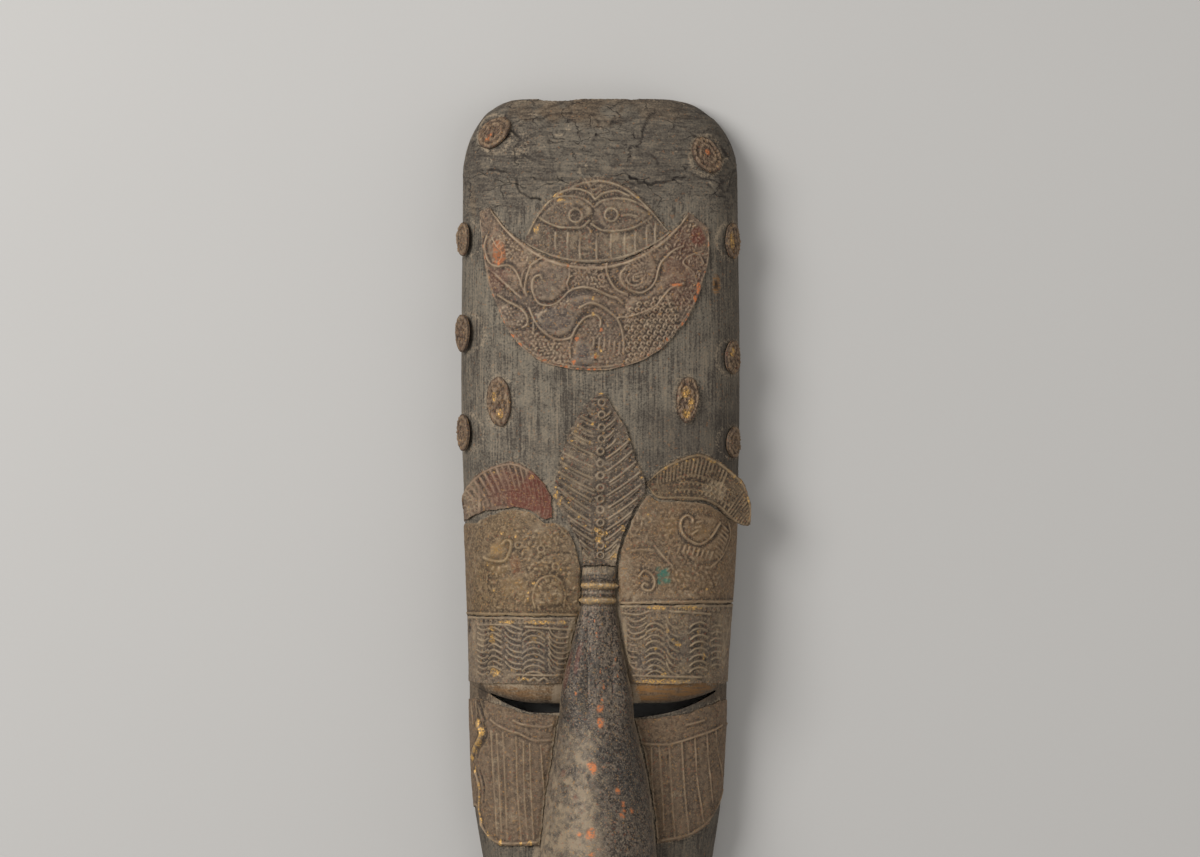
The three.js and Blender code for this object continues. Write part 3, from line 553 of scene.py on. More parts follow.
    def dents(self, depth: float, crust: float) -> None:
        """Adds the uneven surface of hand work and the crumbs of old dirt on it."""
        self.height += self.broad + depth * self.clouds(14, 14, 1) + depth * 0.5 * self.clouds(4.5, 4.5, 2)
        self.height += crust * (np.maximum(self.clouds(1.3, 1.3, 3), -0.2) + 0.8 * self.clouds(2.4, 2.4, 4))

    def weather(self) -> None:
        """Finds the worn high spots, and the hollows that are darkened with dirt and painted shade."""
        wide = blurred(self.height, max(1, int(self.wear_reach / self.cell)))
        high = blurred(self.height, 1) - wide
        self.layers["raised"] = np.clip(high / self.worn_rise, 0, 1)
        # The hollow layer: dirt and painted shade in the low cells beside raised ones.
        self.layers["hollow"] = np.maximum(self.layers["hollow"], np.clip(-high / self.hollow_depth, 0, 1))

    def read(self, s: Array, y: Array, values: Array) -> Array:
        """Reads a grid between its cells.

        Args:
            s, y: the unrolled distances and the heights.
            values: the grid.

        Returns:
            The values there.
        """
        col = np.clip((s - self.s[0]) / self.cell, 0, values.shape[1] - 1.001)
        row = np.clip((y - self.y[0]) / self.cell, 0, values.shape[0] - 1.001)
        j, i = col.astype(int), row.astype(int)
        b, a = col - j, row - i
        low = values[i, j] * (1 - b) + values[i, j + 1] * b
        high = values[i + 1, j] * (1 - b) + values[i + 1, j + 1] * b
        return low * (1 - a) + high * a


class Shell:
    """Collects the grids of one closed mesh."""

    def __init__(self, marks: Sequence[str] = SHEET_MARKS) -> None:
        """Starts with no points, and with the names of the marks that they get."""
        self.names, self.count = marks, 0
        self.points: list[Array] = []
        self.marks: list[Array] = []
        self.faces: list[Array] = []

    def grid(self, points: Array, marks: Array | float = 0.0) -> Array:
        """Adds a grid of points.

        Args:
            points: the points, with rows, columns and x, y and z.
            marks: the marks' values at the points.

        Returns:
            The points' numbers.
        """
        rows, cols = points.shape[:2]
        names = len(self.names)
        self.points.append(points.reshape(-1, 3))
        self.marks.append(np.broadcast_to(marks, (rows, cols, names)).reshape(-1, names))
        self.count += rows * cols
        return np.arange(self.count - rows * cols, self.count).reshape(rows, cols)

    def cover(self, ids: Array, turned: bool = False) -> None:
        """Covers a grid with faces, which look the other way if turned."""
        a, b, c, d = ids[:-1, :-1], ids[:-1, 1:], ids[1:, 1:], ids[1:, :-1]
        for corners in ((a, b, c), (a, c, d)):
            triangles = np.stack([corner.ravel() for corner in corners], axis=-1)
            self.faces.append(triangles[:, ::-1] if turned else triangles)

    def zip(self, upper: Array, lower: Array) -> None:
        """Joins two border lines that run the same way, however many points each has."""
        at = [np.linspace(0, 1, len(line)) for line in (upper, lower)]
        a, b, found = 0, 0, []
        while a < len(upper) - 1 or b < len(lower) - 1:
            ahead = [line[i + 1] if i + 1 < len(line) else math.inf for line, i in zip(at, (a, b))]
            step_upper = ahead[0] <= ahead[1]
            found.append((upper[a], lower[b], upper[a + 1] if step_upper else lower[b + 1]))
            a, b = (a + 1, b) if step_upper else (a, b + 1)
        self.faces.append(np.array(found))

    def close(self, front: Sequence[Array], back: Sequence[Array]) -> None:
        """Joins the first rows, the last rows, the first columns and the last columns of two grids."""
        for way, upper, lower in zip((1, -1, -1, 1), front, back):
            self.zip(upper[::way], lower[::way])

    def piece(self, name: str, sharp: float = 50.0) -> bpy.types.Object:
        """Welds the points and makes the mesh, with its faces looking outwards.

        Args:
            name: the object's name.
            sharp: the angle in degrees from which an edge is sharp.

        Returns:
            The new object.
        """
        points, marks, faces = (np.concatenate(part) for part in (self.points, self.marks, self.faces))
        welded = np.round(points / WELD).astype(np.int64)
        _, first, same = np.unique(welded, axis=0, return_index=True, return_inverse=True)
        points, marks, faces = np.clip(points[first], *CAD_BOX), marks[first], same.reshape(-1)[faces]
        faces = faces[np.all(faces != np.roll(faces, 1, axis=1), axis=1)]
        a, b, c = (points[faces[:, k]] for k in range(3))
        if np.einsum("ij,ij->i", a, np.cross(b, c)).sum() < 0:
            faces = faces[:, ::-1]
        mesh = bpy.data.meshes.new(name)
        mesh.vertices.add(len(points))
        mesh.vertices.foreach_set("co", (points * MILLIMETRE).astype(np.float32).ravel())
        mesh.loops.add(faces.size)
        mesh.loops.foreach_set("vertex_index", faces.astype(np.int32).ravel())
        mesh.polygons.add(len(faces))
        mesh.polygons.foreach_set("loop_start", np.arange(0, faces.size, 3, dtype=np.int32))
        mesh.update(calc_edges=True)
        mesh.validate()
        mesh.shade_smooth()
        mesh.set_sharp_from_angle(angle=math.radians(sharp))
        put_marks(mesh, self.names, marks)
        piece = bpy.data.objects.new(name, mesh)
        bpy.context.scene.collection.objects.link(piece)
        return piece


def put_marks(mesh: bpy.types.Mesh, names: Sequence[str], marks: Array) -> None:
    """Stores marks on a mesh.

    Args:
        mesh: the mesh.
        names: the marks' names.
        marks: their values, one row for each point.
    """
    for name, values in zip(names, marks.T):
        old = mesh.attributes.get(name)
        if old is not None:
            mesh.attributes.remove(old)
        data = mesh.attributes.new(name, "FLOAT", "POINT")
        data.data.foreach_set("value", np.ascontiguousarray(values, np.float32))


class Value:
    """One socket of a material, which takes part in sums as a number does."""

    def __init__(self, bench: "Bench", socket: bpy.types.NodeSocket) -> None:
        """Keeps the socket and the bench that adds its nodes."""
        self.bench, self.socket = bench, socket

    def __add__(self, other: "Term") -> "Value":
        """Adds."""
        return self.bench.maths("ADD", self, other)

    def __radd__(self, other: "Term") -> "Value":
        """Adds to a number."""
        return self.bench.maths("ADD", other, self)

    def __sub__(self, other: "Term") -> "Value":
        """Takes away."""
        return self.bench.maths("SUBTRACT", self, other)

    def __rsub__(self, other: "Term") -> "Value":
        """Takes this away from a number."""
        return self.bench.maths("SUBTRACT", other, self)

    def __mul__(self, other: "Term") -> "Value":
        """Multiplies."""
        return self.bench.maths("MULTIPLY", self, other)

    def __rmul__(self, other: "Term") -> "Value":
        """Multiplies a number."""
        return self.bench.maths("MULTIPLY", other, self)

    def held(self) -> "Value":
        """Keeps the value from 0 to 1."""
        return self.bench.maths("MINIMUM", self.bench.maths("MAXIMUM", self, 0.0), 1.0)

    def eased(self, low: float, high: float) -> "Value":
        """Eases from 0 at low to 1 at high."""
        settings = {"interpolation_type": "SMOOTHSTEP"}
        values = {"Value": self, "From Min": low, "From Max": high}
        return self.bench.add("ShaderNodeMapRange", settings, values)["Result"]


Term = Value | float | Colour


class Bench:
    """Adds the nodes of one material."""

    def __init__(self, name: str) -> None:
        """Starts a material with its shader.

        Args:
            name: the material's name.
        """
        self.material = bpy.data.materials.new(name)
        self.material.use_nodes = True
        self.tree = self.material.node_tree
        self.shader = self.tree.nodes["Principled BSDF"]
        self.place = self.add("ShaderNodeTexCoord", {}, {})["Object"]

    def add(self, kind: str, settings: dict[str, object], values: dict[str | int, Term]
            ) -> dict[str, Value]:
        """Adds a node.

        Args:
            kind: its type.
            settings: its settings, which are set first.
            values: what goes into its sockets, by name or number.

        Returns:
            Its outputs by name.
        """
        node = self.tree.nodes.new(kind)
        for name, setting in settings.items():
            setattr(node, name, setting)
        for name, value in values.items():
            self.feed(node.inputs[name], value)
        return {out.name: Value(self, out) for out in node.outputs if out.enabled}

    def feed(self, socket: bpy.types.NodeSocket, value: Term) -> None:
        """Links a value to a socket, or sets a constant on it. A colour is in display values."""
        if isinstance(value, Value):
            self.tree.links.new(value.socket, socket)
        elif isinstance(value, tuple) and len(socket.default_value) == 4:
            socket.default_value = (*srgb(*value), 1.0)
        else:
            socket.default_value = value

    def maths(self, operation: str, first: Term, second: Term) -> Value:
        """Works out one sum of two numbers."""
        return self.add("ShaderNodeMath", {"operation": operation}, {0: first, 1: second})["Value"]

    def mix(self, share: Term, first: Term, second: Term) -> Value:
        """Blends from the first colour to the second."""
        settings = {"data_type": "RGBA"}
        node = self.add("ShaderNodeMix", settings, {"Factor": share, 6: first, 7: second})
        return node["Result"]

    def mark(self, layer: str) -> Value:
        """Reads a layer that is stored on the mesh."""
        return self.add("ShaderNodeAttribute", {"attribute_name": layer}, {})["Fac"]

    def spread(self, stretch: Row, seed: float) -> Value:
        """Gives places in swells for each metre, moved by a seed."""
        values = {"Vector": self.place, "Scale": stretch, "Location": (seed * 3.7, seed, seed * 9.1)}
        return self.add("ShaderNodeMapping", {}, values)["Vector"]

    def noise(self, stretch: Row, seed: float, detail: float = 3.0,
              rough: float = 0.55) -> Value:
        """Makes soft noise.

        Args:
            stretch: its swells for each metre along x, y and z.
            seed: what moves it.
            detail: how many finer octaves it has.
            rough: how strong they are.

        Returns:
            Values around one half.
        """
        values = {"Vector": self.spread(stretch, seed), "Scale": 1.0, "Detail": detail,
                  "Roughness": rough}
        return self.add("ShaderNodeTexNoise", {}, values)["Fac"]

    def cracks(self, stretch: Row, seed: float) -> Value:
        """Gives the distance to the edges of irregular cells with bent sides."""
        place = self.spread(stretch, seed)
        bend = self.add("ShaderNodeTexNoise", {}, {"Vector": place, "Scale": 2.4, "Detail": 4.0})["Color"]
        bend = self.add("ShaderNodeVectorMath", {"operation": "SCALE"}, {0: bend, "Scale": 0.6})["Vector"]
        bent = self.add("ShaderNodeVectorMath", {"operation": "ADD"}, {0: place, 1: bend})["Vector"]
        settings = {"feature": "DISTANCE_TO_EDGE"}
        return self.add("ShaderNodeTexVoronoi", settings, {"Vector": bent, "Scale": 1.0})["Distance"]

    def finish(self, colour: Value, rough: Value, metal: Term, bump: Value, strength: float,
               shine: float) -> bpy.types.Material:
        """Feeds the shader.

        Args:
            colour: the base colour.
            rough: the roughness.
            metal: how metallic it is.
            bump: the fine height.
            strength: how far the fine height bends the light.
            shine: the specular level.

        Returns:
            The material.
        """
        height = {"Height": bump, "Strength": strength, "Distance": 0.0006}
        for name, value in {
            "Base Color": colour, "Roughness": rough, "Metallic": metal, "Specular IOR Level": shine,
            "Normal": self.add("ShaderNodeBump", {}, height)["Normal"],
        }.items():
            self.feed(self.shader.inputs[name], value)
        return self.material


@dataclass(frozen=True)
class MetalFinish:
    """Dull beaten sheet metal, with dirt and painted shade in its hollows and wear on its lines."""

    name: str
    dark: Colour
    first: Colour
    second: Colour
    worn: Colour
    dust: Colour = (138, 121, 98)
    deep: Colour = (40, 33, 28)
    slate: Colour = (78, 75, 74)
    red: Colour = (97, 54, 42)
    flecks_of: tuple[Colour, Colour] = ((160, 118, 68), (126, 76, 52))
    verdigris: Colour = (44, 102, 88)
    copper: Colour = (184, 112, 68)
    gold: Colour = (194, 153, 88)
    dusty: float = 0.35
    cool: float = 0.2
    line: float = 0.85
    speckle: float = 0.5
    flecks: float = 0.5
    metal: float = 0.25
    rough: float = 0.62
    seed: float = 1.0

    def made(self) -> bpy.types.Material:
        """Makes the material.

        Returns:
            The material.
        """
        bench = Bench(self.name)
        broad = bench.noise((26, 20, 26), self.seed, 2)
        patches = bench.noise((110, 95, 110), self.seed + 2, 4, 0.6)
        fine = bench.noise((300, 300, 300), self.seed + 4, 4, 0.7)
        grit = bench.noise((760, 760, 760), self.seed + 6, 2, 0.6)
        flecks = bench.noise((520, 520, 520), self.seed + 8, 2, 0.6)
        raised, hollow = bench.mark("raised"), bench.mark("hollow")
        copper, gold = bench.mark("copper"), bench.mark("gold")
        colour = bench.mix((broad * 0.5 + patches * 0.5).eased(0.42, 0.58), self.first, self.second)
        cool = (bench.mark("cool") + broad.eased(0.52, 0.66) * self.cool).held()
        colour = bench.mix((cool * (0.1 + 1.1 * fine)).held(), colour, self.slate)
        darkening = (fine * 0.5 + grit * 0.5).eased(0.46, 0.58)
        colour = bench.mix(darkening * self.speckle, colour, self.dark)
        # Dirt and painted shade: the hollow mark darkens dips, recesses and shaded patches to the deep
        # colour.
        colour = bench.mix((hollow * (0.45 + 0.6 * fine)).held(), colour, self.deep)
        # The dust mark is mostly dust, and also carries painted light on the leaf's left half.
        settled = (bench.mark("dust") + patches.eased(0.5, 0.66) * self.dusty).held()
        colour = bench.mix((settled + 1.6 * grit).eased(1.05, 1.65) * 0.9, colour, self.dust)
        colour = bench.mix((bench.mark("paint") * (0.1 + 1.5 * fine)).held(), colour, self.red)
        worn = (grit * 0.4 + fine * 0.3 + patches * 0.3).eased(0.42, 0.57)
        painted = 1 - bench.mark("paint") * 0.75
        colour = bench.mix(raised * (0.35 + 0.65 * worn) * painted * self.line, colour, self.worn)
        colour = bench.mix((1 - grit).eased(0.54, 0.66) * 0.35, colour, self.worn)
        colour = bench.mix(flecks.eased(0.62, 0.68) * self.flecks, colour, self.flecks_of[0])
        colour = bench.mix((1 - flecks).eased(0.62, 0.68) * self.flecks, colour, self.flecks_of[1])
        green = (bench.mark("green") * fine.eased(0.36, 0.6)) * 0.8
        colour = bench.mix(green, colour, self.verdigris)
        bright = (copper * (0.1 + (grit + fine).eased(0.88, 1.04))).held()
        colour = bench.mix(bright, colour, self.copper)
        glint = (gold * (0.12 + (grit * 0.6 + fine * 0.4).eased(0.46, 0.57))).held()
        colour = bench.mix(glint, colour, self.gold)
        metal = (self.metal * (1 - settled) + glint * 0.3 + bright * 0.2).held()
        rough = self.rough + 0.22 * fine - 0.14 * raised - glint * 0.15
        bump = fine * 0.6 + grit * 0.4
        return bench.finish(colour, rough, metal, bump, 0.6, 0.35)


@dataclass(frozen=True)
class WoodFinish:
    """Dry, greyed and dusty wood, with painted shade and some painted light."""

    name: str = "wood"
    dark: Colour = (52, 46, 41)
    middle: Colour = (98, 90, 79)
    grey: Colour = (117, 109, 96)
    pale: Colour = (147, 131, 110)
    brown: Colour = (112, 92, 70)
    glaze: Colour = (150, 108, 62)
    fleck: Colour = (134, 96, 66)
    # Nearly black: dirt and painted shade in cracks, hollows and the eye slits.
    darkening: Colour = (34, 29, 26)

    def made(self) -> bpy.types.Material:
        """Makes the material.

        Returns:
            The material.
        """
        bench = Bench(self.name)
        broad = bench.noise((17, 10, 17), 1, 3)
        upright = bench.noise((760, 26, 760), 2, 3, 0.65)
        level = bench.noise((70, 560, 110), 3, 4, 0.7)
        blots = bench.noise((90, 70, 90), 5, 5, 0.65)
        grit = bench.noise((760, 760, 760), 6, 2, 0.6)
        flecks = bench.noise((450, 450, 450), 7, 2, 0.6)
        end, shade = bench.mark("level"), bench.mark("shade")
        grain = (upright * (1 - end) + level * end) * 0.45 + grit * 0.37 + blots * 0.18
        crack = (1 - bench.cracks((42, 74, 42), 9).eased(0.0, 0.035)) * end * blots.eased(0.46, 0.56) * 0.7
        colour = bench.mix((broad * 0.4 + blots * 0.6).eased(0.4, 0.6), self.middle, self.grey)
        colour = bench.mix((bench.mark("bare") * (0.35 + 0.7 * blots)).held(), colour, self.brown)
        colour = bench.mix((0.5 - grain).eased(0.0, 0.08) * 0.72, colour, self.dark)
        colour = bench.mix((grain - 0.5).eased(0.01, 0.09) * 0.58, colour, self.pale)
        glaze = (bench.mark("glaze") * (0.2 + level.eased(0.4, 0.6))).held()
        colour = bench.mix(glaze, colour, self.glaze)
        colour = bench.mix((shade * (0.7 + 0.6 * blots)).held() * 0.62, colour, self.dark)
        # The dust mark also carries painted highlights on the flake edges and painted light in the groove
        # beside the nose.
        settled = (bench.mark("dust") + blots + 1.2 * grit).eased(1.45, 2.0)
        colour = bench.mix(settled * 0.85, colour, self.pale)
        colour = bench.mix(flecks.eased(0.64, 0.7) * 0.45, colour, self.fleck)
        # Dirt and painted shade: cracks, the hollow mark, the slit walls, the nail hole and the recess by the
        # left slit go nearly black.
        colour = bench.mix((bench.mark("hollow") * 0.85 + crack).held(), colour, self.darkening)
        rough = 0.78 + 0.16 * grit
        return bench.finish(colour, rough, 0.0, grain * 0.6 + grit * 0.4 - crack, 0.9, 0.22)


@dataclass
class Sheet:
    """A beaten sheet that lies on the wood, between an upper and a lower edge."""

    face: Face
    node: str
    slot: str
    finish: MetalFinish
    rows: int
    cols: int
    seed: int
    upper: Line = ()
    lower: Line = ()
    proud: float = 0.0
    dent: float = 0.22
    crust: float = 0.11
    wobble: float = 0.5
    cell: float = 0.25
    range: Point = (-0.75, 2.4)
    pressed: Row = (0, 0, 0, 0)

    def place(self, u: Array, v: Array) -> Pair:
        """Turns two stations from 0 to 1 into the unrolled distance and the height."""
        raise NotImplementedError

    def draw(self, relief: Relief) -> None:
        """Beats the sheet's pattern into its relief."""
        raise NotImplementedError

    def ground(self, far: Array, y: Array, height: Array) -> Array:
        """Gives the points that stand off the wood by a height."""
        return self.face.on_wood(self.face.roll(far, y), y, height)

    def edge(self, relief: Relief, along_u: bool, at: float, wide: float, high: float,
             span: Point = (0.02, 0.98)) -> None:
        """Raises or sinks a line that follows an edge.

        Args:
            relief: the sheet's relief.
            along_u: whether the line runs along u.
            at: its other station.
            wide, high: its width and height.
            span: where it starts and ends.
        """
        run, still = np.linspace(*span, 40), np.full(40, at)
        s, y = self.place(run, still) if along_u else self.place(still, run)
        relief.line(list(zip(s, y)), wide, high, True)

    def layout(self, rows: int, cols: int) -> tuple[Array, Array, Array, Array]:
        """Gives a grid over the sheet, which drifts a little towards its hand-cut edges.

        Args:
            rows, cols: the grid's size.

        Returns:
            The stations, the unrolled distances and the heights.
        """
        u, v = np.meshgrid(np.linspace(0, 1, rows), np.linspace(0, 1, cols), indexing="ij")
        place = list(self.place(u, v))
        border = 1 - np.minimum.reduce([u, 1 - u, v, 1 - v]) * 2
        for k in (0, 1):
            wave = sum(
                np.sin((u * a + v * b) * 2 * math.pi + self.seed * c + k * 2.1) / n
                for a, b, c, n in ((3, 2, 1.3, 1.6), (7, 6, 2.2, 2.6), (13, 11, 4.1, 3.4), (23, 19, 5.3, 5))
            )
            place[k] = place[k] + self.wobble * wave * border**4
        return u, v, *place

    def build(self) -> None:
        """Makes the sheet, closed and of one thickness, with its pattern on the front."""
        u, v, far, y = self.layout(self.rows, self.cols)
        low, high = ((float(end(far)) + way, float(end(y)) + way) for end, way in ((np.min, -2), (np.max, 2)))
        relief = Relief(self.face, low, high, self.cell, self.seed)
        self.draw(relief)
        relief.dents(self.dent, self.crust)
        relief.weather()
        rise = np.clip(relief.read(far, y, relief.height), *self.range)
        rim = np.zeros_like(rise)
        rim[2:-2, 2:-2] = 1
        marks = np.stack([relief.read(far, y, relief.layers[name]) for name in SHEET_MARKS], axis=-1)
        gaps = zip(self.pressed, (u, 1 - u, v, 1 - v))
        press = np.maximum.reduce([share * (1 - smooth(gap, 0, 0.04)) for share, gap in gaps])
        dust = marks[..., SHEET_MARKS.index("dust")]
        np.maximum(dust, press, out=dust)
        shell = Shell()
        base = GAP + SHEET * (1 - press) + self.proud
        front = shell.grid(self.ground(far, y, base + rise * (0.35 + 0.65 * rim)), marks)
        *_, back_far, back_y = self.layout(max(8, self.rows // 5), max(8, self.cols // 5))
        back = shell.grid(self.ground(back_far, back_y, np.full_like(back_y, GAP + self.proud)))
        shell.cover(front)
        shell.cover(back, turned=True)
        shell.close(*((ids[0], ids[-1], ids[:, 0], ids[:, -1]) for ids in (front, back)))
        dress(shell.piece(self.node + "_look"), self.slot, self.finish)


def dress(piece: bpy.types.Object, slot: str, finish: MetalFinish | WoodFinish) -> None:
    """Gives a piece its finish, and lets it ride on the mask in place of the solid of the same name.

    Args:
        piece: the piece.
        slot: the name of its material slot; not used.
        finish: its finish.
    """
    piece.data.materials.clear()
    piece.data.materials.append(finish.made())
    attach(piece, "root")
    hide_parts(piece.name.removesuffix("_look"))
    log.info("%s: %d faces", piece.name, len(piece.data.polygons))


def between(near: Pair, far: Pair, v: Array) -> Pair:
    """Fills between two edges."""
    return near[0] + (far[0] - near[0]) * v, near[1] + (far[1] - near[1]) * v


@dataclass
class ForeheadPlate(Sheet):
    """A plate between a free edge and an arc round the middle of the forehead."""

    arc: Row = ()

    def place(self, u: Array, v: Array) -> Pair:
        """Runs along the plate with u, and from its free edge to its arc with v."""
        radius, start, turn = self.arc
        x, y = Route(self.upper)(u)
        angle = start + turn * u
        ix, iy = -6 + radius * np.cos(angle), 285 + radius * np.sin(angle)
        return between((self.face.far_at(x, y), y), (self.face.far_at(ix, iy), iy), v)


@dataclass
class CrescentPlate(ForeheadPlate):
    """The scrolled crescent on the forehead."""

    arc: Row = (76, 3.67, 2.04)
    upper: Line = (
        (-78.5, 243.8), (-77.4, 232), (-75.4, 215), (-72, 195), (-66, 178.5), (-58.6, 163.5), (-47.5, 151.5),
        (-34, 143.8), (-18.5, 140), (-2, 139.2), (14.5, 141.6), (31, 148.2), (47.6, 161), (60.6, 179.6),
        (68.2, 201.5), (71, 219), (70.6, 233.4),
    )
    cushions: Sequence[tuple[float, Line]] = (
        (1.0, ((-46.2, 209.2), (-37.6, 211.9), (-27.1, 211.2), (-19.8, 205.3), (-21.8, 194.7), (-29.7, 185.5),
               (-40.3, 184.8), (-46.2, 194.7))),
        (1.2, ((-43.6, 176.2), (-33.7, 180.2), (-21.8, 186.8), (-8.6, 189.4), (2, 185.5), (-4.6, 181.5),
               (-13.9, 176.2), (-17.8, 165.7), (-27.1, 161.7), (-37.6, 164.3))),
        (0.9, ((-16.5, 159), (-4.6, 159), (-3.3, 143.2), (-17.8, 143.2))),
        (0.9, ((11, 203), (14.5, 193), (24, 190), (34, 196), (37, 206), (33, 217), (22, 214))),
        (0.9, ((17.8, 185.5), (31, 189.4), (41.6, 201.3), (49.5, 205.3), (56.1, 201.3), (53.5, 190.7),
               (44.2, 181.5), (31, 176.2), (16.5, 176.2))),
        (0.8, ((-66.7, 181.5), (-57.4, 185.5), (-49.5, 180.2), (-46.2, 172.3), (-52.1, 167), (-62.7, 169.6))),
        (0.9, ((-74, 226), (-68, 232), (-61, 227), (-65, 217), (-72, 215))),
        (0.9, ((-72, 210), (-64, 211), (-55, 205), (-51, 194), (-58, 191), (-67, 200))),
    )
    stippled: Sequence[tuple[Line, float, float, float]] = (
        (((-66, 231), (-38, 216), (-47, 207), (-62, 213)), 2.7, 0.55, 0.6),
        (((-20, 210), (4, 210), (4, 194), (-18, 194)), 2.6, 0.6, 1.0),
        (((-45, 166), (-36, 160), (-20, 157), (-20.5, 141), (-46, 150)), 2.6, 0.55, 1.0),
        (((-64, 183), (-48, 179), (-46, 165), (-60, 160)), 2.6, 0.4, 0.8),
        (((40, 222), (60, 238), (68, 224), (50, 211)), 3.0, 0.55, 1.6),
        (((58, 213), (70, 218), (68, 190), (60, 184)), 2.6, 0.5, 1.8),
        (((46, 192), (60, 196), (62, 180), (52, 170)), 2.6, 0.5, 1.4),
        (((-48, 188), (-40, 184), (-28, 183), (-20, 190), (-20, 183), (-42, 176), (-50, 182)), 2.6, 0.35, 1),
        (((15, 189), (40, 212), (38, 195), (28, 189)), 2.6, 0.3, 1.0),
        (((-13, 172), (-4, 176), (13, 166), (14, 144), (-3, 142)), 2.8, 0.35, 0.8),
    )
    bold: Sequence[Line] = (
        ((-73.5, 228), (-75, 222), (-74, 215), (-71.5, 210), (-66.5, 208), (-59.5, 208.5), (-55.5, 205.5),
         (-52.5, 200), (-51, 194.5)),
        ((-37, 213.5), (-43, 210.5), (-46.5, 205.5), (-48.5, 198.5), (-49, 192.5), (-48, 188.5)),
        ((-38, 200), (-39, 202), (-43, 200), (-44.5, 194.5), (-43, 188), (-40, 183.5), (-34.5, 182),
         (-28.5, 183.5), (-24, 187.5), (-20, 191.5), (-13, 194), (-6, 193.5), (-1.5, 192), (7, 188),
         (11, 187), (15, 183.5)),
        ((-46.5, 180.5), (-43, 172.5), (-39, 166.5), (-33.5, 162), (-27.5, 159.5), (-21.5, 160),
         (-18.5, 161.5), (-16.5, 165.5), (-13.5, 170), (-9.5, 174), (-5, 175.5), (-1.5, 175), (0.5, 172),
         (0, 168)),
        ((-13.5, 180.5), (-8.5, 183), (-5.5, 183.5), (0, 182), (6, 178), (11, 173.5), (14, 167.5),
         (15.5, 158.5), (15.5, 150.5)),
        ((-66.5, 189), (-60.5, 185), (-54.5, 182), (-50, 178.5), (-47.5, 174.5), (-47.5, 169.5),
         (-50.5, 167.5)),
        ((4.5, 211.5), (4.5, 204.5), (7, 198), (11, 192.5), (17.5, 189.5)),
        ((16.5, 206.5), (13.5, 202.5), (14, 198), (17.5, 193.5), (22.5, 191), (27.5, 190.5), (33, 193.5),
         (36.5, 198.5), (38, 204.5), (40, 210), (43.5, 214), (48.5, 218.5), (54.5, 221)),
        ((54.5, 196.5), (46.5, 193.5), (41.5, 188), (36.5, 182), (29.5, 178), (20.5, 175), (12, 174)),
    )
    fine: Sequence[Line] = (
        ((-70, 227), (-67.5, 222), (-64, 217), (-66, 211), (-70, 211.5)),
        ((-41, 211), (-50, 204.5), (-51, 197), (-49.5, 190)),
        ((-20, 206.5), (-20, 201), (-21.5, 196), (-20.5, 192)),
        ((-44.5, 176), (-43.5, 171), (-43.5, 165.5)), ((-18.5, 160), (-20, 154.5), (-19.5, 147.5)),
        ((43.5, 190), (46, 180.5), (50, 173.5)),
        ((66.5, 217.5), (59, 215), (54.5, 211), (57, 206.5), (61.5, 201), (64, 194.5)),
        ((54.5, 209.5), (60.5, 204.5), (63, 198)),
        ((19.5, 203), (17.5, 200), (19, 196.5), (23, 195), (27, 196.5), (28, 200)),
        ((22, 201), (22, 198.5), (24.5, 198)),
    )

    def draw(self, relief: Relief) -> None:
        """Beats the scrolls, their stippled ground and the fish scales, and adds the worn spots."""
        for high, outline in self.cushions:
            relief.swell(outline, high)
        for outline, pitch, high, dash in self.stippled:
            relief.stipple(outline, pitch, 1.0, high, dash)
        turn = np.linspace(0.3, 2 * math.pi - 1.5, 7)
        scaled = ((16, 180), (46, 190), (54, 174), (46, 158), (31, 147), (17, 142))
        for s, y in relief.spots(scaled, 4.1, 0.9, 0.12):
            scale = np.stack([s + 1.35 * np.cos(turn), y + 1.35 * np.sin(turn)], axis=-1)
            relief.emboss(scale, 0.9, 0.6, even=True)
        relief.lines(1.2, 0.8, *self.bold)
        relief.lines(1.0, 0.5, *self.fine)
        relief.ladder((-72.5, 207), (-54, 189), (4.4, -3.2), 9)
        relief.ladder((-70, 226), (-60, 216), (2.6, 2.6), 6, 0.9, 0.35)
        relief.ladder((36, 221), (23.5, 207.5), (3.6, -3.2), 9)
        relief.ladder((24, 205), (27.5, 197), (4.6, 1.4), 5, 0.9, 0.35)
        relief.ladder((-4, 157.5), (13, 154), (0.6, 7), 6, 1.15, 0.6)
        relief.ladder((64, 210), (69, 196), (4, 2), 7, 0.9, 0.35)
        relief.ring(-4.5, 205.5, 2.6)
        relief.ring(1, 200.5, 1.8)
        for t in np.linspace(0, 1, 17):
            relief.ring(15.5 + 30 * t, 171.5 + 15 * t * t + 3 * t, 0.8, 0.7, 0.4)
        for far in (6.5, 8.2):
            turns = np.linspace(0, 2 * math.pi, int(far * 3))
            relief.ticks(23, 201.5, (far, far), turns, (1.2, 0.8, 0.35), 1.2)
        self.edge(relief, True, 0.965, 1.7, 0.6)
        self.edge(relief, True, 0.915, 1.0, -0.22)
        self.edge(relief, True, 0.03, 0.9, 0.3, (0.12, 0.9))
        self.edge(relief, True, 0.0, 0.9, 0.3)
        relief.patches("hollow", (0, 168, 20, 26, 0.24), (54, 206, 17, 26, 0.12))
        relief.patches("dust", (-34, 204, 22, 14, 0.22))
        relief.patches("cool", (2, 166, 15, 14, 0.3), (-28, 172, 16, 9, 0.8), (-12, 186, 12, 5, 0.7),
                       (-11, 151, 7, 9, 1.0), (-33, 198, 9, 10, 0.4))
        relief.patches("paint", (56, 208, 15, 22, 0.25), (64, 227, 7, 9, 1.0), (55, 221, 6, 4, 0.4),
                       (-66, 199, 6, 9, 0.35))
        for u in np.linspace(0.04, 0.96, 70):
            if relief.rng.uniform() < 0.28:
                s, y = self.place(np.array(u), np.array(0.01))
                wide, tall = relief.rng.uniform(0.5, 1.4, 2)
                relief.patches("copper", (float(s), float(y), wide * 1.3, tall, 0.8), flat=True)
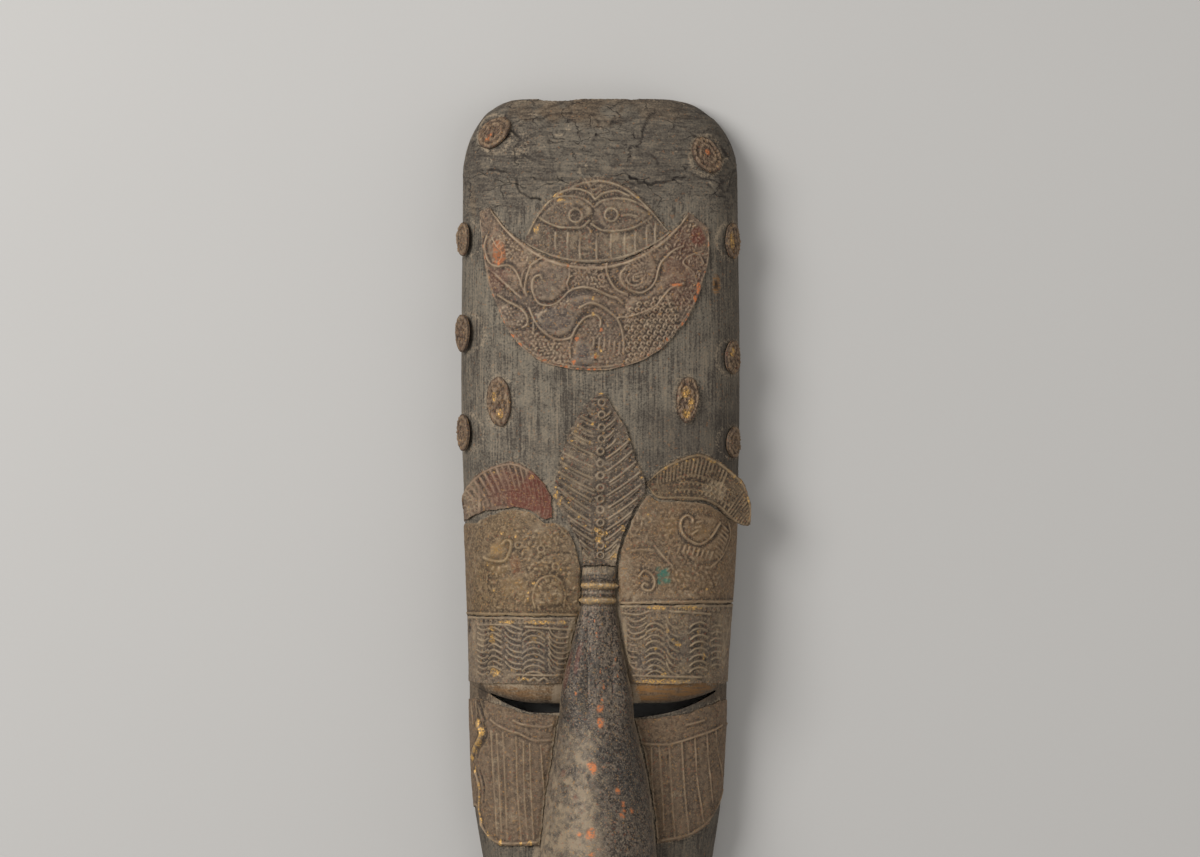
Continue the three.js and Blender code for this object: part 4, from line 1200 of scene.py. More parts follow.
        relief.patches("copper", (-66.5, 217, 4, 7, 0.5), (-58, 162, 2.2, 1.6), (-52.5, 156, 1.6, 1.6),
                       (-17, 145, 1.4, 1.6), (-15, 160, 1.6, 1.4), (50, 195.5, 4.2, 1), (64, 194, 1.2, 4),
                       (62, 186, 1, 2.6), (-21, 208, 1, 1), (-66, 210, 1, 1.4), (1, 166, 1, 1.2),
                       (44, 160, 0.8, 1.4), (-3, 148, 1, 1))
        relief.specks(1.1, (-1.5, 148.5), (-3, 150), (-4.5, 176), (-4.6, 187), (0.5, 152))


@dataclass
class FacePlaque(ForeheadPlate):
    """The lens-shaped plaque with two almond eyes."""

    arc: Row = (75.4, 4.1, 1.39)
    upper: Line = (
        (-48.2, 227), (-37.5, 247.5), (-22, 260.5), (-2.6, 266.6), (14, 262.5), (30, 249), (45.5, 229.6),
    )
    bold: Sequence[Line] = (
        ((-42.5, 241), (-35.5, 249), (-28.5, 253), (-21.5, 254), (-13, 253), (-7.5, 250), (-4, 246.5)),
        ((-41.5, 241), (-35.5, 237), (-27, 233.5), (-18, 233), (-12, 233.5), (-7, 238)),
        ((-4, 246.5), (0, 250), (6, 252), (16.5, 252), (25, 249.5), (33, 243.5)),
        ((-5.5, 235.5), (1.5, 231.5), (12, 231), (20.5, 232.5), (28.5, 236.5), (33.5, 240)),
        ((-32, 253.5), (-23.5, 257.5), (-14.5, 258.5), (-7, 256), (-3, 251.5)),
        ((-3, 251.5), (1, 255), (4.5, 256.5), (11, 257.5), (19, 254)),
    )
    fine: Sequence[Line] = (
        ((14.5, 241), (19, 241.5), (24.5, 240.5)), ((-10, 265.5), (-5.5, 261), (-1, 264.5)),
        ((-8, 262), (-4.5, 258), (1, 261)), ((-6, 257.5), (-3.6, 254.6), (1, 258)),
        ((-9.5, 234.5), (-6, 230.8), (-9.5, 226.5), (-13, 230.6), (-9.5, 234.5)),
    )
    teeth: Sequence[Row] = (
        (-29, 230, 219), (-21, 230, 214), (-13, 226, 213), (-2, 229, 212.5), (7.5, 229, 212.6),
        (16.5, 230, 215), (23.5, 231, 217), (31, 235, 221), (36.5, 236, 224),
    )

    def draw(self, relief: Relief) -> None:
        """Beats the eyes, the brows and the upright strokes."""
        relief.swell(((-42, 241), (-28, 253), (-12, 252), (-4, 245), (-14, 233), (-30, 234)), 0.9)
        relief.swell(((-4, 245), (4, 252), (20, 251), (33, 242), (20, 232), (4, 231)), 0.9)
        relief.lines(1.1, 0.7, *self.bold)
        relief.lines(0.85, 0.4, *self.fine)
        for x, top, foot in self.teeth:
            relief.line(((x, top), (x - 0.4, (top + foot) / 2), (x, foot)), 1.1, 0.4)
            relief.line(((x + 2.6, top - 1), (x + 2.4, foot + 1)), 1.6, -0.3)
        for x, y in ((-16, 241), (7.5, 241.5)):
            relief.ring(x, y, 4.3, 1.0, 0.65)
            relief.patches("hollow", (x, y, 2.4, 2.4, 0.6))
        self.edge(relief, True, 0.05, 1.2, 0.6)
        self.edge(relief, True, 0.12, 0.9, -0.2)
        self.edge(relief, True, 0.97, 1.2, 0.4)
        relief.ladder((-10, 228), (-10, 216), (5, 0.6), 4, 0.8, 0.25)
        relief.patches("gold", (-44, 239, 1.2, 5), (-38, 248, 2.5, 1.6), (-30, 255, 5, 1.4),
                       (25.5, 254, 2, 1.6),
                       (-42, 233, 1.4, 3.4), (-26, 251, 3, 1), (32, 243, 1, 1), strength=0.8)
        relief.patches("dust", (14, 222, 24, 10, 0.35), (-24, 219, 14, 8, 0.25))


@dataclass
class LeafPlate(Sheet):
    """The veined leaf over the root of the nose."""

    left: Line = (
        (9.8, -11), (24.6, -13.4), (36, -18.8), (46, -24.5), (55, -30.4), (62, -30.2), (76, -26.6),
        (93, -22.4), (106, -16.7), (117.5, -8.2), (124, -1.2),
    )
    right: Line = (
        (9.8, 11), (24.6, 12.8), (36, 17), (47.5, 22.6), (60, 29), (69, 28.4), (83, 22.8), (100, 17.2),
        (114.7, 8.8), (124, 2.6),
    )
    veins: Sequence[Row] = (
        (4.5, 88, 10.5, 93.5), (4.5, 81.5, 19, 93), (5, 73, 21, 86), (6.5, 65.5, 24, 79.5), (6, 57.5, 26, 72),
        (6, 49, 27, 64), (6, 42, 24.5, 55), (5, 34.5, 21.5, 46.5), (4.5, 28, 15, 36), (4, 21, 12, 27.5),
        (4, 14.5, 10, 19.5), (4, 95, 9, 99.5), (4, 102, 10, 107), (3.5, 109, 7, 112), (-5, 91, -18, 98),
        (-5, 84, -20, 92), (-5, 76, -24, 85), (-5, 68, -26, 79), (-4, 60, -27, 72.5), (-6, 54, -27, 67),
        (-6, 47, -27, 62), (-6, 39.5, -24, 52), (-5.5, 33.5, -20.5, 43), (-4.5, 27, -17, 35),
        (-4.5, 20.5, -13, 27), (-4.5, 14, -11, 19), (-5, 98, -14, 103), (-4, 105, -12, 109),
        (-4, 112, -7.5, 114),
    )

    def place(self, u: Array, v: Array) -> Pair:
        """Runs up the leaf with u, and from its left edge to its right one with v."""
        y = 9.8 + 114.2 * u
        return self.face.far_at(Curve(self.left)(y) * (1 - v) + Curve(self.right)(y) * v, y), y

    def draw(self, relief: Relief) -> None:
        """Beats the row of rings and the veins."""
        for y in (118, 110, 101.5, 94, 86, 78, 70, 62, 54.5, 47.5, 39, 32, 24, 17.5):
            x = 1.2 if y > 90 else 0.4
            relief.ring(x, y, 2.2, 1.1, 0.85)
            relief.patches("hollow", (x, y, 1.2, 1.2, 0.7))
        for x0, y0, x1, y1 in self.veins:
            middle = ((x0 + x1) / 2, (y0 + y1) / 2 - 0.5)
            relief.line(((x0, y0), middle, (x1, y1)), 1.2, 0.85)
            under = ((x0, y0 - 2.3), (middle[0], middle[1] - 2.5), (x1 * 0.94, y1 - 2.7))
            relief.line(under, 0.85, 0.34)
            relief.line([(x, y - 1.9) for x, y in under], 1.0, -0.4)
        self.edge(relief, False, 0.035, 1.0, 0.5)
        self.edge(relief, False, 0.965, 1.0, 0.5)
        relief.specks(0.95, (1, 124), (-16, 99), (-18.5, 93), (-6.5, 91.5), (-5, 104), (-14.5, 103),
                      (-24.5, 81.5), (-26, 68.5), (-29, 62.5), (-25.5, 55.5), (-20, 52), (-14, 43), (19.5,
                       94),
                      (27, 68.5), (15.5, 34), (3.5, 24), (-10, 37), (-22, 75), (-28, 59), (5, 26), (2, 31))
        relief.specks(1.5, (-19.5, 55), (-29, 56.5), (-26.4, 52), (15.5, 35.4), (0, 33), (3.4, 31.5),
                      (-2.4, 34.5))
        relief.patches("gold", (-1, 27, 2.6, 4, 0.8), (9, 17, 3, 2.4, 0.6))
        # Painted shade down the right half of the leaf. The first dust patch is painted light down its left
        # half; the two at its foot are dust.
        relief.patches("hollow", (14, 62, 13, 44, 0.15))
        relief.patches("dust", (-15, 68, 11, 36, 0.3), (8, 16, 6, 8, 0.5), (-7, 16, 5, 8, 0.4))


@dataclass
class BrowPlate(Sheet):
    """A brow sheet, which may leave the wood past its hinge. Its first station gives x."""

    hinge: float = 1e3
    fall: float = 0.42

    def place(self, u: Array, v: Array) -> Pair:
        """Runs along the brow with u, and from its upper edge to its lower one with v."""
        return between(Route(self.upper)(u), Route(self.lower)(u), v)

    def ground(self, far: Array, y: Array, height: Array) -> Array:
        """Lays the sheet on the wood, and straight out past its hinge."""
        over = np.maximum(far - self.hinge, 0)
        points = self.face.on_wood(np.maximum(self.face.across_at(far - over, y), -WRAP), y, height)
        return points + np.stack([over, over * 0, -over * self.fall], axis=-1)

    def comb(self, relief: Relief, count: int, lean: float, span: Point, size: Point, reach: Point) -> None:
        """Raises leaning strokes all along the brow.

        Args:
            relief: the sheet's relief.
            count: how many strokes there are.
            lean: how far each leans along the brow.
            span: where the first and last one start.
            size: their width and height.
            reach: from where to where each goes across the sheet.
        """
        for u in np.linspace(*span, count):
            v = np.linspace(*reach, 4)
            x, y = self.place(np.clip(u + lean * (v - v[0]), 0, 1), v)
            relief.line(list(zip(x, y)), *size, True)

    def arc(self, relief: Relief, x: float, y: float, radii: Point, span: Row, size: Point) -> None:
        """Raises a part of an oval of two radii, from angle to angle in some steps."""
        turns = np.linspace(*span)
        relief.line([(x + radii[0] * math.cos(a), y + radii[1] * math.sin(a)) for a in turns], *size, True)


class LeftBrow(BrowPlate):
    """The left brow, with worn dark red paint."""

    def draw(self, relief: Relief) -> None:
        """Beats the leaning strokes, and the scales of the outer lobe."""
        self.comb(relief, 15, 0.09, (0.18, 0.86), (1.1, 0.45), (0.08, 0.62))
        self.comb(relief, 19, -0.05, (0.16, 0.97), (0.9, 0.35), (0.72, 0.9))
        for x, y in ((-88, 48), (-84, 52), (-85, 44), (-88, 55), (-83.5, 59), (-81, 47), (-86, 61),
                     (-82, 53)):
            self.arc(relief, x, y, (2, 1.7), (-0.4, 2.8, 6), (0.8, 0.4))
        relief.line(((-79, 63), (-78.6, 54.5), (-78.5, 46)), 1.0, 0.55, True)
        self.edge(relief, True, 0.05, 1.1, 0.5)
        relief.patches("paint", (-43, 57, 13, 14), (-34, 48, 6, 7), (-56, 62, 12, 12, 0.5),
                       (-66, 66, 8, 8, 0.5), (-68, 54, 5, 5, 0.5), flat=True)
        relief.patches("dust", (-84, 52, 6, 14, 0.4), flat=True)
        relief.patches("gold", (-45, 69, 1.4, 1.4), (-30.5, 60, 1.2, 1.2), (-69, 72, 0.8, 0.8), flat=True)


class RightBrow(BrowPlate):
    """The right brow, which stands out past the side of the mask."""

    def draw(self, relief: Relief) -> None:
        """Beats the strokes, the scales and the rim."""
        self.comb(relief, 20, 0.03, (0.1, 0.6), (1.1, 0.42), (0.12, 0.5))
        for row, v in enumerate((0.5, 0.66, 0.82)):
            for u in np.linspace(0.3, 0.74, 13) + (row % 2) * 0.018:
                x, y = self.place(np.array(u), np.array(v))
                self.arc(relief, x, y, (1.6, 1.5), (0.2, 3.4, 6), (0.8, 0.45))
        self.comb(relief, 9, 0.02, (0.76, 0.97), (1.0, 0.5), (0.15, 0.9))
        self.arc(relief, 73.5, 70.5, (2.6, 2.6), (0, 6.28, 12), (0.9, 0.5))
        self.edge(relief, True, 0.05, 1.3, 0.6)
        self.edge(relief, True, 0.95, 1.0, 0.4)
        glints = (
            (43, 75, 1.6, 1.2), (50, 77.5, 1.8, 1.2), (61.5, 80.5, 2, 1.1), (73.5, 79, 2.6, 1.2),
            (87.5, 69.5, 1.4, 1.8), (92, 66, 1.2, 2), (97, 54, 1.2, 2.6), (70, 81, 2, 1), (84, 73, 1.6, 1.2),
            (57, 79.5, 1.4, 1),
        )
        spots = [(x, y, wide * 0.7, tall * 0.8) for x, y, wide, tall in glints]
        relief.patches("gold", *spots, strength=0.8, flat=True)
        relief.patches("dust", (76, 60, 8, 8, 0.5), flat=True)


@dataclass
class WrappedSheet(Sheet):
    """A sheet that starts round the side of the mask and runs in along two edges."""

    side: float = -1.0
    wrapped: float = 0.14

    def wrapped_edge(self, points: Line, u: Array) -> Pair:
        """Starts at the wrap round the side, and then runs in along the points."""
        inland = Route(self.face.unrolled(points))
        start, height = inland(np.zeros(()))
        outer = self.face.unroll(np.array(self.side * WRAP), height)
        s, y = inland(np.clip((u - self.wrapped) / (1 - self.wrapped), 0, 1))
        outside = u < self.wrapped
        return np.where(outside, outer + (start - outer) * u / self.wrapped, s), np.where(outside, height, y)

    def place(self, u: Array, v: Array) -> Pair:
        """Runs inwards with u, and from the upper edge to the lower one with v."""
        return between(self.wrapped_edge(self.upper, u), self.wrapped_edge(self.lower, u), v)


@dataclass
class LidPlate(WrappedSheet):
    """The sheet over the upper part of an eyelid."""

    proud: float = 0.15
    pressed: Row = (0, 0.5, 0.4, 0)
    inner_foot: float = -14.0
    level: float = -22.4

    def place(self, u: Array, v: Array) -> Pair:
        """Runs inwards with u, and down from the upper edge to the level foot with v."""
        across = np.array([self.side * WRAP, self.face.across_at(self.inner_foot, self.level)])
        start, end = self.face.unroll(across, np.full(2, self.level))
        foot = (start + (end - start) * u, np.full_like(u, self.level))
        return between(self.wrapped_edge(self.upper, u), foot, v)


class LeftLid(LidPlate):
    """The left lid sheet."""

    def draw(self, relief: Relief) -> None:
        """Beats the hook, the arches, the rings and the scattered marks."""
        relief.stipple(((-74, 8), (-48, 24), (-20, 30), (-16, -18), (-70, -18)), 5.2, 1.1, 0.35, 1.8)
        relief.stipple(((-56, 34), (-30, 36), (-20, 26), (-46, 22)), 4.2, 1.2, 0.4, 1.2)
        relief.stipple(((-48, 16), (-20, 8), (-20, 2), (-46, -2)), 4.0, 1.2, 0.4, 1.4)
        relief.line(((-63, 24.5), (-61, 27), (-58, 26.5), (-57.5, 23), (-59, 18), (-61.5, 14), (-65, 13),
                     (-71, 14), (-75, 15.5)), 1.6, 0.85)
        relief.line(((-42.5, -3), (-39.5, 1.5), (-35, 3.5), (-31, 4), (-27.5, 2), (-25, -1)), 1.5, 0.75)
        relief.swell(((-43, -5), (-38, 2), (-31, 4), (-26, 0), (-24, -14), (-42, -16)), 1.0)
        relief.swell(((-76, 16), (-66, 28), (-54, 28), (-54, 8), (-70, 4)), 1.1, 6)
        relief.line(((-40, 14.5), (-35, 17.5), (-29.5, 19), (-21, 19), (-15, 17)), 1.1, -0.35)
        relief.line(((-43, -4), (-44, -11), (-42.5, -17)), 1.2, 0.45)
        relief.line(((-25, -1), (-23, -8), (-24, -16)), 1.2, 0.4)
        for x, y in ((-38.5, 21.5), (-28.5, 44.5), (-29, 10), (-53, 24)):
            relief.ring(x, y, 2.2)
        for k in range(7):
            x = -79.5 + k * 1.1
            relief.line(((x, 12 - k), (x - 1, 3 - k), (x + 1.5, -5 - k), (x + 5, -12)), 1.0, 0.28)
        relief.ladder((-34, 44), (-18, 26), (3, -2.4), 7, 0.9, 0.35)
        relief.ticks(-33.5, -6, (5.6, 5.6), 0.35 + 0.3 * np.arange(9), (1.8, 0.7, 0.3))
        relief.patches("dust", (-60, 42, 20, 4, 0.12), (-36, 38, 16, 8, 0.12), (-18, -4, 5, 22, 0.3))
        relief.patches("gold", (-63, 14, 9, 12, 0.12), (-57, -3, 8, 6, 0.12), (-58, 28, 7, 5, 0.1),
                       (-36, 28, 8, 5, 0.07), (-47, -8, 6, 6, 0.08), (-66, 21.5, 5, 4, 0.3))
        relief.patches("copper", (-54.5, 10, 4, 8, 0.1))
        relief.specks(1.0, (-47, 22), (-46.5, -7), (-43.5, -1), (-47, -11), (-69, -6), (-72.5, 11.5),
                      (-64, 32),
                      (-28, 12), (-26, 8), (-55, 30))
        self.edge(relief, True, 0.985, 1.4, 0.7)


class RightLid(LidPlate):
    """The right lid sheet."""

    def draw(self, relief: Relief) -> None:
        """Beats the large and the small spiral, the leaf beside them and the scattered marks."""
        relief.stipple(((24, 44), (52, 48), (46, 22), (22, 24)), 4.6, 1.2, 0.3, 1.6)
        relief.stipple(((42, 22), (60, 20), (60, -10), (44, -10)), 4.2, 1.2, 0.36, 2.0)
        relief.stipple(((60, 12), (78, 10), (78, -10), (60, -10)), 4.6, 1.1, 0.3, 1.6)
        relief.line(((60, 39), (60, 41.5), (57, 43.5), (53.5, 41), (52.5, 36.5), (54.5, 30.5), (60, 26),
                     (65, 24.5), (70.5, 27.5), (74, 32), (76.5, 36.5), (78, 38.5)), 1.35, 0.95)
        relief.swell(((53, 40), (54, 30), (64, 25), (74, 31), (78, 40), (66, 44)), 0.8)
        relief.swell(((80, 38), (84, 30), (78, 16), (64, 12), (52, 20), (56, 26), (68, 22), (76, 30)), 0.8)
        relief.line(((26, 3.5), (29, 7), (32.5, 6), (35.5, 2.5), (36, -2), (34, -5.5), (30, -5.5), (28, -3.5),
                     (29.5, -1), (31.5, -2)), 1.3, 0.8)
        relief.line(((83.5, 39), (84.5, 31), (82.5, 23.5), (78.5, 16), (72, 9.5)), 1.1, 0.5)
        relief.line(((36, 23.5), (41.5, 16.5), (47.5, 10)), 1.1, 0.55)
        relief.line(((20.5, 20.5), (28, 20.8), (35.5, 20.5)), 1.0, 0.5)
        relief.lines(1.1, 0.6, ((63, 39), (66.5, 39.8)), ((62, 35.3), (65.5, 36.2)), ((60, 31), (63.5, 34)))
        relief.ticks(31, 0.5, (7.4, 7.8), 1 + 0.42 * np.arange(10), (2, 0.7, 0.32))
        relief.ladder((81, 35), (76, 15), (3.4, -3.8), 8, 0.9, 0.45)
        relief.ladder((52, 22), (72, 17), (-1.6, -4.4), 8)
        relief.ladder((44.5, 31), (50, 24), (3, 1.4), 3)
        relief.ladder((22, 36), (20, 26), (2, -3), 3, 0.9, 0.3)
        relief.patches("green", (41.5, 3.5, 4.4, 6), (38.5, 8.5, 2, 2, 0.7))
        relief.patches("gold", (46, 36, 7, 9, 0.11), (66, 31, 7, 6, 0.08), (52, 4, 8, 6, 0.07))
        relief.patches("hollow", (38, 22, 7, 9, 0.3))
        relief.patches("dust", (30, 46, 12, 9, 0.25), (17, 0, 5, 24, 0.3), (40, -10, 26, 5, 0.35))
        relief.specks(0.9, (31.5, 44), (15, 34), (63, 20), (55, -3), (69, -5), (46, 33))
        self.edge(relief, True, 0.985, 1.4, 0.7)


@dataclass
class EyeBand(Sheet):
    """The band of combed waves under a lid sheet."""

    pressed: Row = (0, 0, 0, 0.5)
    side: float = -1.0
    head: float = -23.2
    inner_top: float = -15.4
    inner_foot: float = -25.6
    foot: float = -66.8
    combs: Sequence[tuple[Line, float, float, int]] = ()
    level_lines: Sequence[Line] = ()
    glints: Sequence[Row] = ()

    def place(self, u: Array, v: Array) -> Pair:
        """Runs down the band with u, and from the side inwards with v."""
        y = self.head + (self.foot - self.head) * u
        outer = self.face.unroll(np.full_like(y, self.side * WRAP), y)
        inner = self.face.far_at(self.inner_top + (self.inner_foot - self.inner_top) * u, y)
        return outer + (inner - outer) * v, y

    def draw(self, relief: Relief) -> None:
        """Beats the framed rows of waves and the worn golden spots."""
        side = self.side
        for shape, top, pitch, count in self.combs:
            for k in range(count):
                right, up = relief.rng.uniform(-0.3, 0.3, 2)
                relief.line([(x + right, top - k * pitch + y + up) for x, y in shape], 0.8, 0.62)
        relief.lines(1.1, 0.6, *self.level_lines)
        for x in np.arange(18, 84, 3.1):
            relief.ring(side * x, self.head - 3.2, 1.0, 0.7, 0.35)
        self.edge(relief, False, 0.02, 1.3, 0.5)
        relief.patches("gold", *self.glints, strength=0.9)
        relief.patches("cool", (side * 56, -42, 13, 14), (side * 36, -50, 9, 10), (side * 74, -46, 8, 12),
                       strength=0.5)
        relief.patches("dust", (self.inner_top + side * 3, -45, 3.5, 24, 0.8), (side * 80, -45, 7, 26, 0.35))
        # Painted shade: a small hole in the left band, drawn as a dark spot.
        if side < 0:
            relief.patches("hollow", (-84.8, -31, 2.4, 3.4))


@dataclass
class CheekPlate(WrappedSheet):
    """A cheek sheet with upright ridges."""

    wrapped: float = 0.18
    pressed: Row = (0, 0.6, 0, 0)
    nose_share: float = 0.985
    nose_gap: float = 2.1
    curves: Sequence[Line] = ()
    ridges: Sequence[Line] = ()
    fold: Line = ()

    def place(self, u: Array, v: Array) -> Pair:
        """Runs inwards with u as far as the nose, and down with v."""
        s, y = super().place(u, v)
        straight_s, straight_y = super().place(np.ones(30), np.linspace(0, 1, 30))
        off = self.face.nose_reach(y) * self.nose_share + self.nose_gap
        nose = self.face.nose_mid(y) + self.side * off
        past = self.face.far_at(nose, y) - np.interp(-y, -straight_y, straight_s)
        return s + smooth(u, 0.5, 1) * past, y

    def draw(self, relief: Relief) -> None:
        """Beats the curves and the ridges, and rolls the torn outer rim over."""
        relief.lines(1.0, 0.55, *self.curves)
        relief.lines(0.8, 0.5, *self.ridges)
        for first, second in zip(self.ridges[:-1:2], self.ridges[1::2]):
            relief.layers["dust"][relief.inside((*first, *second[::-1]))] = 0.22
        for _ in range(26):
            x, y = self.side * relief.rng.uniform(30, 72), relief.rng.uniform(-168, -96)
            dx, dy = relief.rng.uniform(-5, 5), relief.rng.uniform(-3, 3)
            relief.line(((x, y), (x + dx, y + dy)), 0.7, -0.12)
        if self.fold:
            self.roll_over(relief)
        else:
            relief.line(((82.4, -95), (83.4, -112), (82.8, -130), (80.6, -148)), 1.6, 1.0)
            relief.patches("paint", (84, -118, 3.5, 30, 0.6))
            relief.patches("hollow", (74, -150, 5, 6, 0.7))
        self.edge(relief, True, 0.98, 1.2, 0.4)

    def roll_over(self, relief: Relief) -> None:
        """Rolls the torn rim over, golden outside, with painted shadow beside it."""
        curl, rest = self.fold[:5], self.fold[5:]
        for points, wide, high in ((curl, 2.9, 2.0), (rest, 1.2, 1.0)):
            relief.line(points, wide, high)
            relief.line([(x + 3, y) for x, y in points], 2.0, -0.5)
        beside = ((-83.8, -80), (-82.8, -87), (-82.4, -95)), ((-80.8, -80), (-80.2, -86), (-80, -92))
        relief.lines(0.9, 0.7, *beside)
        relief.line(((-79, -80), (-77, -86), (-75.4, -92)), 2.2, -0.6)
        relief.patches("gold", *((*at, 2.6, 4.2) for at in curl), *((*at, 1.2, 3.4) for at in rest))
        # Painted shadow in the pleat beside the curl and along the outer rim.
        relief.patches("hollow", (-78.4, -83, 5, 12), (-74.5, -98, 2.4, 9, 0.8), (-84.5, -128, 2.2, 22, 0.7))
        relief.stipple(((-45, -87), (-34, -87), (-36, -91.5), (-43, -91.5)), 1.7, 0.9, 0.7)
        for t in np.linspace(0, 1, 26):
            x, y = Route(rest)(t)
            if relief.rng.uniform() < 0.6:
                relief.patches("gold", (float(x), float(y), 1.6, 1.1, 0.9))


@dataclass
class NoseSheath(Sheet):
    """The dark sheet over the nose, with two raised ridges at its collar."""

    head: float = 9.0
    widest: float = 0.985
    girth: float = 100.0
    straight: float = 0.87
    tuck: float = 1.25
    dent: float = 0.28
    wobble: float = 0.4
    cell: float = 0.35
    pressed: Row = (0, 0, 0.6, 0.6)
    spots: Sequence[Row] = (
        (0, -83, 3, 2.8), (0, -92.4, 2.8, 3.5), (-5, -121.1, 3.5, 4.5), (-6, -164.3, 2.8, 3.8),
        (-2.2, -34.2, 1.6, 2), (0, -9, 1.4, 1.2), (-3.5, -25.5, 1, 1), (-6, -44, 0.9, 1),
        (2, -68.5, 1.4, 1.6), (1, -77.5, 1.2, 1.4), (2, -121, 1, 1), (11, -137, 1.6, 2.6),
        (14.5, -145.5, 1.4, 2), (15, -149.5, 1.4, 1.4), (13.5, -153, 1.6, 2), (19.5, -149.5, 1.4, 2),
        (-13, -165, 1.4, 1.4), (-0.5, -174.5, 1, 1), (-5, -178, 1.6, 1.2), (9.5, -51, 0.9, 0.9),
        (11, -62, 0.9, 1), (-15.5, -73, 1.2, 1), (0, -59, 0.8, 1),
    )

    def place(self, u: Array, v: Array) -> Pair:
        """Runs down the nose with u, and round it with v. The first number is the share of its girth."""
        past = np.clip((u - self.straight) / (1 - self.straight), 0, 1)
        down = self.head + (self.face.tip_start - self.head) * np.minimum(u / self.straight, 1)
        return (v - 0.5) * self.girth, down - self.face.tip * np.sin(past * self.tuck)

    def ground(self, far: Array, y: Array, height: Array) -> Array:
        """Lays the sheath on the nose, and carries it over the lids on both sides of the root.

        Args:
            far: the share of its girth.
            y: the height on the mask.
            height: how far it stands off the wood.

        Returns:
            The points.
        """
        face, first = self.face, math.acos(self.widest)
        share = np.clip(far, -self.girth / 2, self.girth / 2)
        angle = first + (share / self.girth + 0.5) * (math.pi - 2 * first)
        x = face.nose_mid(y) - face.nose_reach(y) * np.cos(angle)
        points = face.on_wood(face.across_at(x, y), y, height)
        inland = smooth(face.nose_reach(y) - np.abs(x - face.nose_mid(y)), 0.5, 6)
        lid = face.lid_swell(x, np.maximum(y, -69.0)) * (1 - smooth(-y, 69, 108))
        points[..., 2] += np.maximum(lid - face.lid_swell(x, y), 0) * inland
        return points

    def worn(self, relief: Relief, layer: str, strength: float, *spots: Row) -> None:
        """Puts worn patches on the nose.

        Args:
            relief: the sheath's relief.
            layer: the layer's name.
            strength: how strong they are.
            spots: each patch's middle, seen from the front, and its half width and half height.
        """
        first = math.acos(self.widest)
        for x, y, wide, tall in spots:
            part = np.clip((self.face.nose_mid(y) - x) / self.face.nose_reach(y), -0.96, 0.96)
            share = float(((math.acos(part) - first) / (math.pi - 2 * first) - 0.5) * self.girth)
            relief.patches(layer, (share, y, wide, tall, strength), flat=True)

    def draw(self, relief: Relief) -> None:
        """Beats the collar, and puts on the dust and the bright worn spots."""
        dust, s, y = relief.layers["dust"], relief.s[None, :], relief.y[:, None]
        for level, wide, high in ((-2.4, 2.1, 1.5), (-12.3, 2.1, 1.5), (-5.4, 1.5, -0.45), (-15.4, 1.5, -0.4),
                                  (1.2, 1.6, -0.4), (-9.3, 1.4, -0.35)):
            relief.line(((-49, level), (0, level + 0.3), (49, level)), wide, high, True)
            if high > 0:
                ridge = np.exp(-(((y - level) / 1.7) ** 2))
                dust += ridge
                relief.layers["gold"] += 0.7 * ridge
        dented = smooth(-y, 60, 120) * (1 - 0.8 * smooth(-y, 180, 200))
        relief.height += 0.5 * relief.clouds(26, 22, 9) * dented
        self.worn(relief, "copper", 0.9, *((x, y, wide, tall * 0.9) for x, y, wide, tall in self.spots))
        self.worn(relief, "hollow", 0.45, (-26, -121, 3.4, 3), (-16, -140, 3, 2.4), (8, -112, 3, 5),
                  (22, -150, 3, 8))
        self.worn(relief, "paint", 0.5, (-23, -126, 3, 2.4), (-15.5, -141, 2.4, 2), (-20, -60, 5, 14),
                  (-14, -50, 4, 10))
        mottled = 0.5 * relief.clouds(12, 16, 5) + 0.5 * relief.clouds(4, 4, 6)
        mottled = smooth(mottled + 0.8 * relief.clouds(1.7, 1.7, 7), -1.9, 1.5)
        # Paler towards the lower left of the sheath, on the dust mark.
        low_left = smooth(-y, 66, 120) * smooth(-s, -14, 10) * (0.2 + 0.6 * mottled)
        sides = smooth(np.abs(s), 36, 50) * smooth(-y, -5, 10) * (0.4 + 0.35 * mottled)
        collar = (1 - smooth(np.abs(y - 7), 1.5, 3)) * (0.25 + 0.4 * mottled)
        relief.layers["dust"] = np.maximum.reduce([dust, low_left, sides, collar])


class Motif(Enum):
    """What is beaten into a rosette."""

    RINGS = "rings"
    FLOWER = "flower"
    BLOCKS = "blocks"


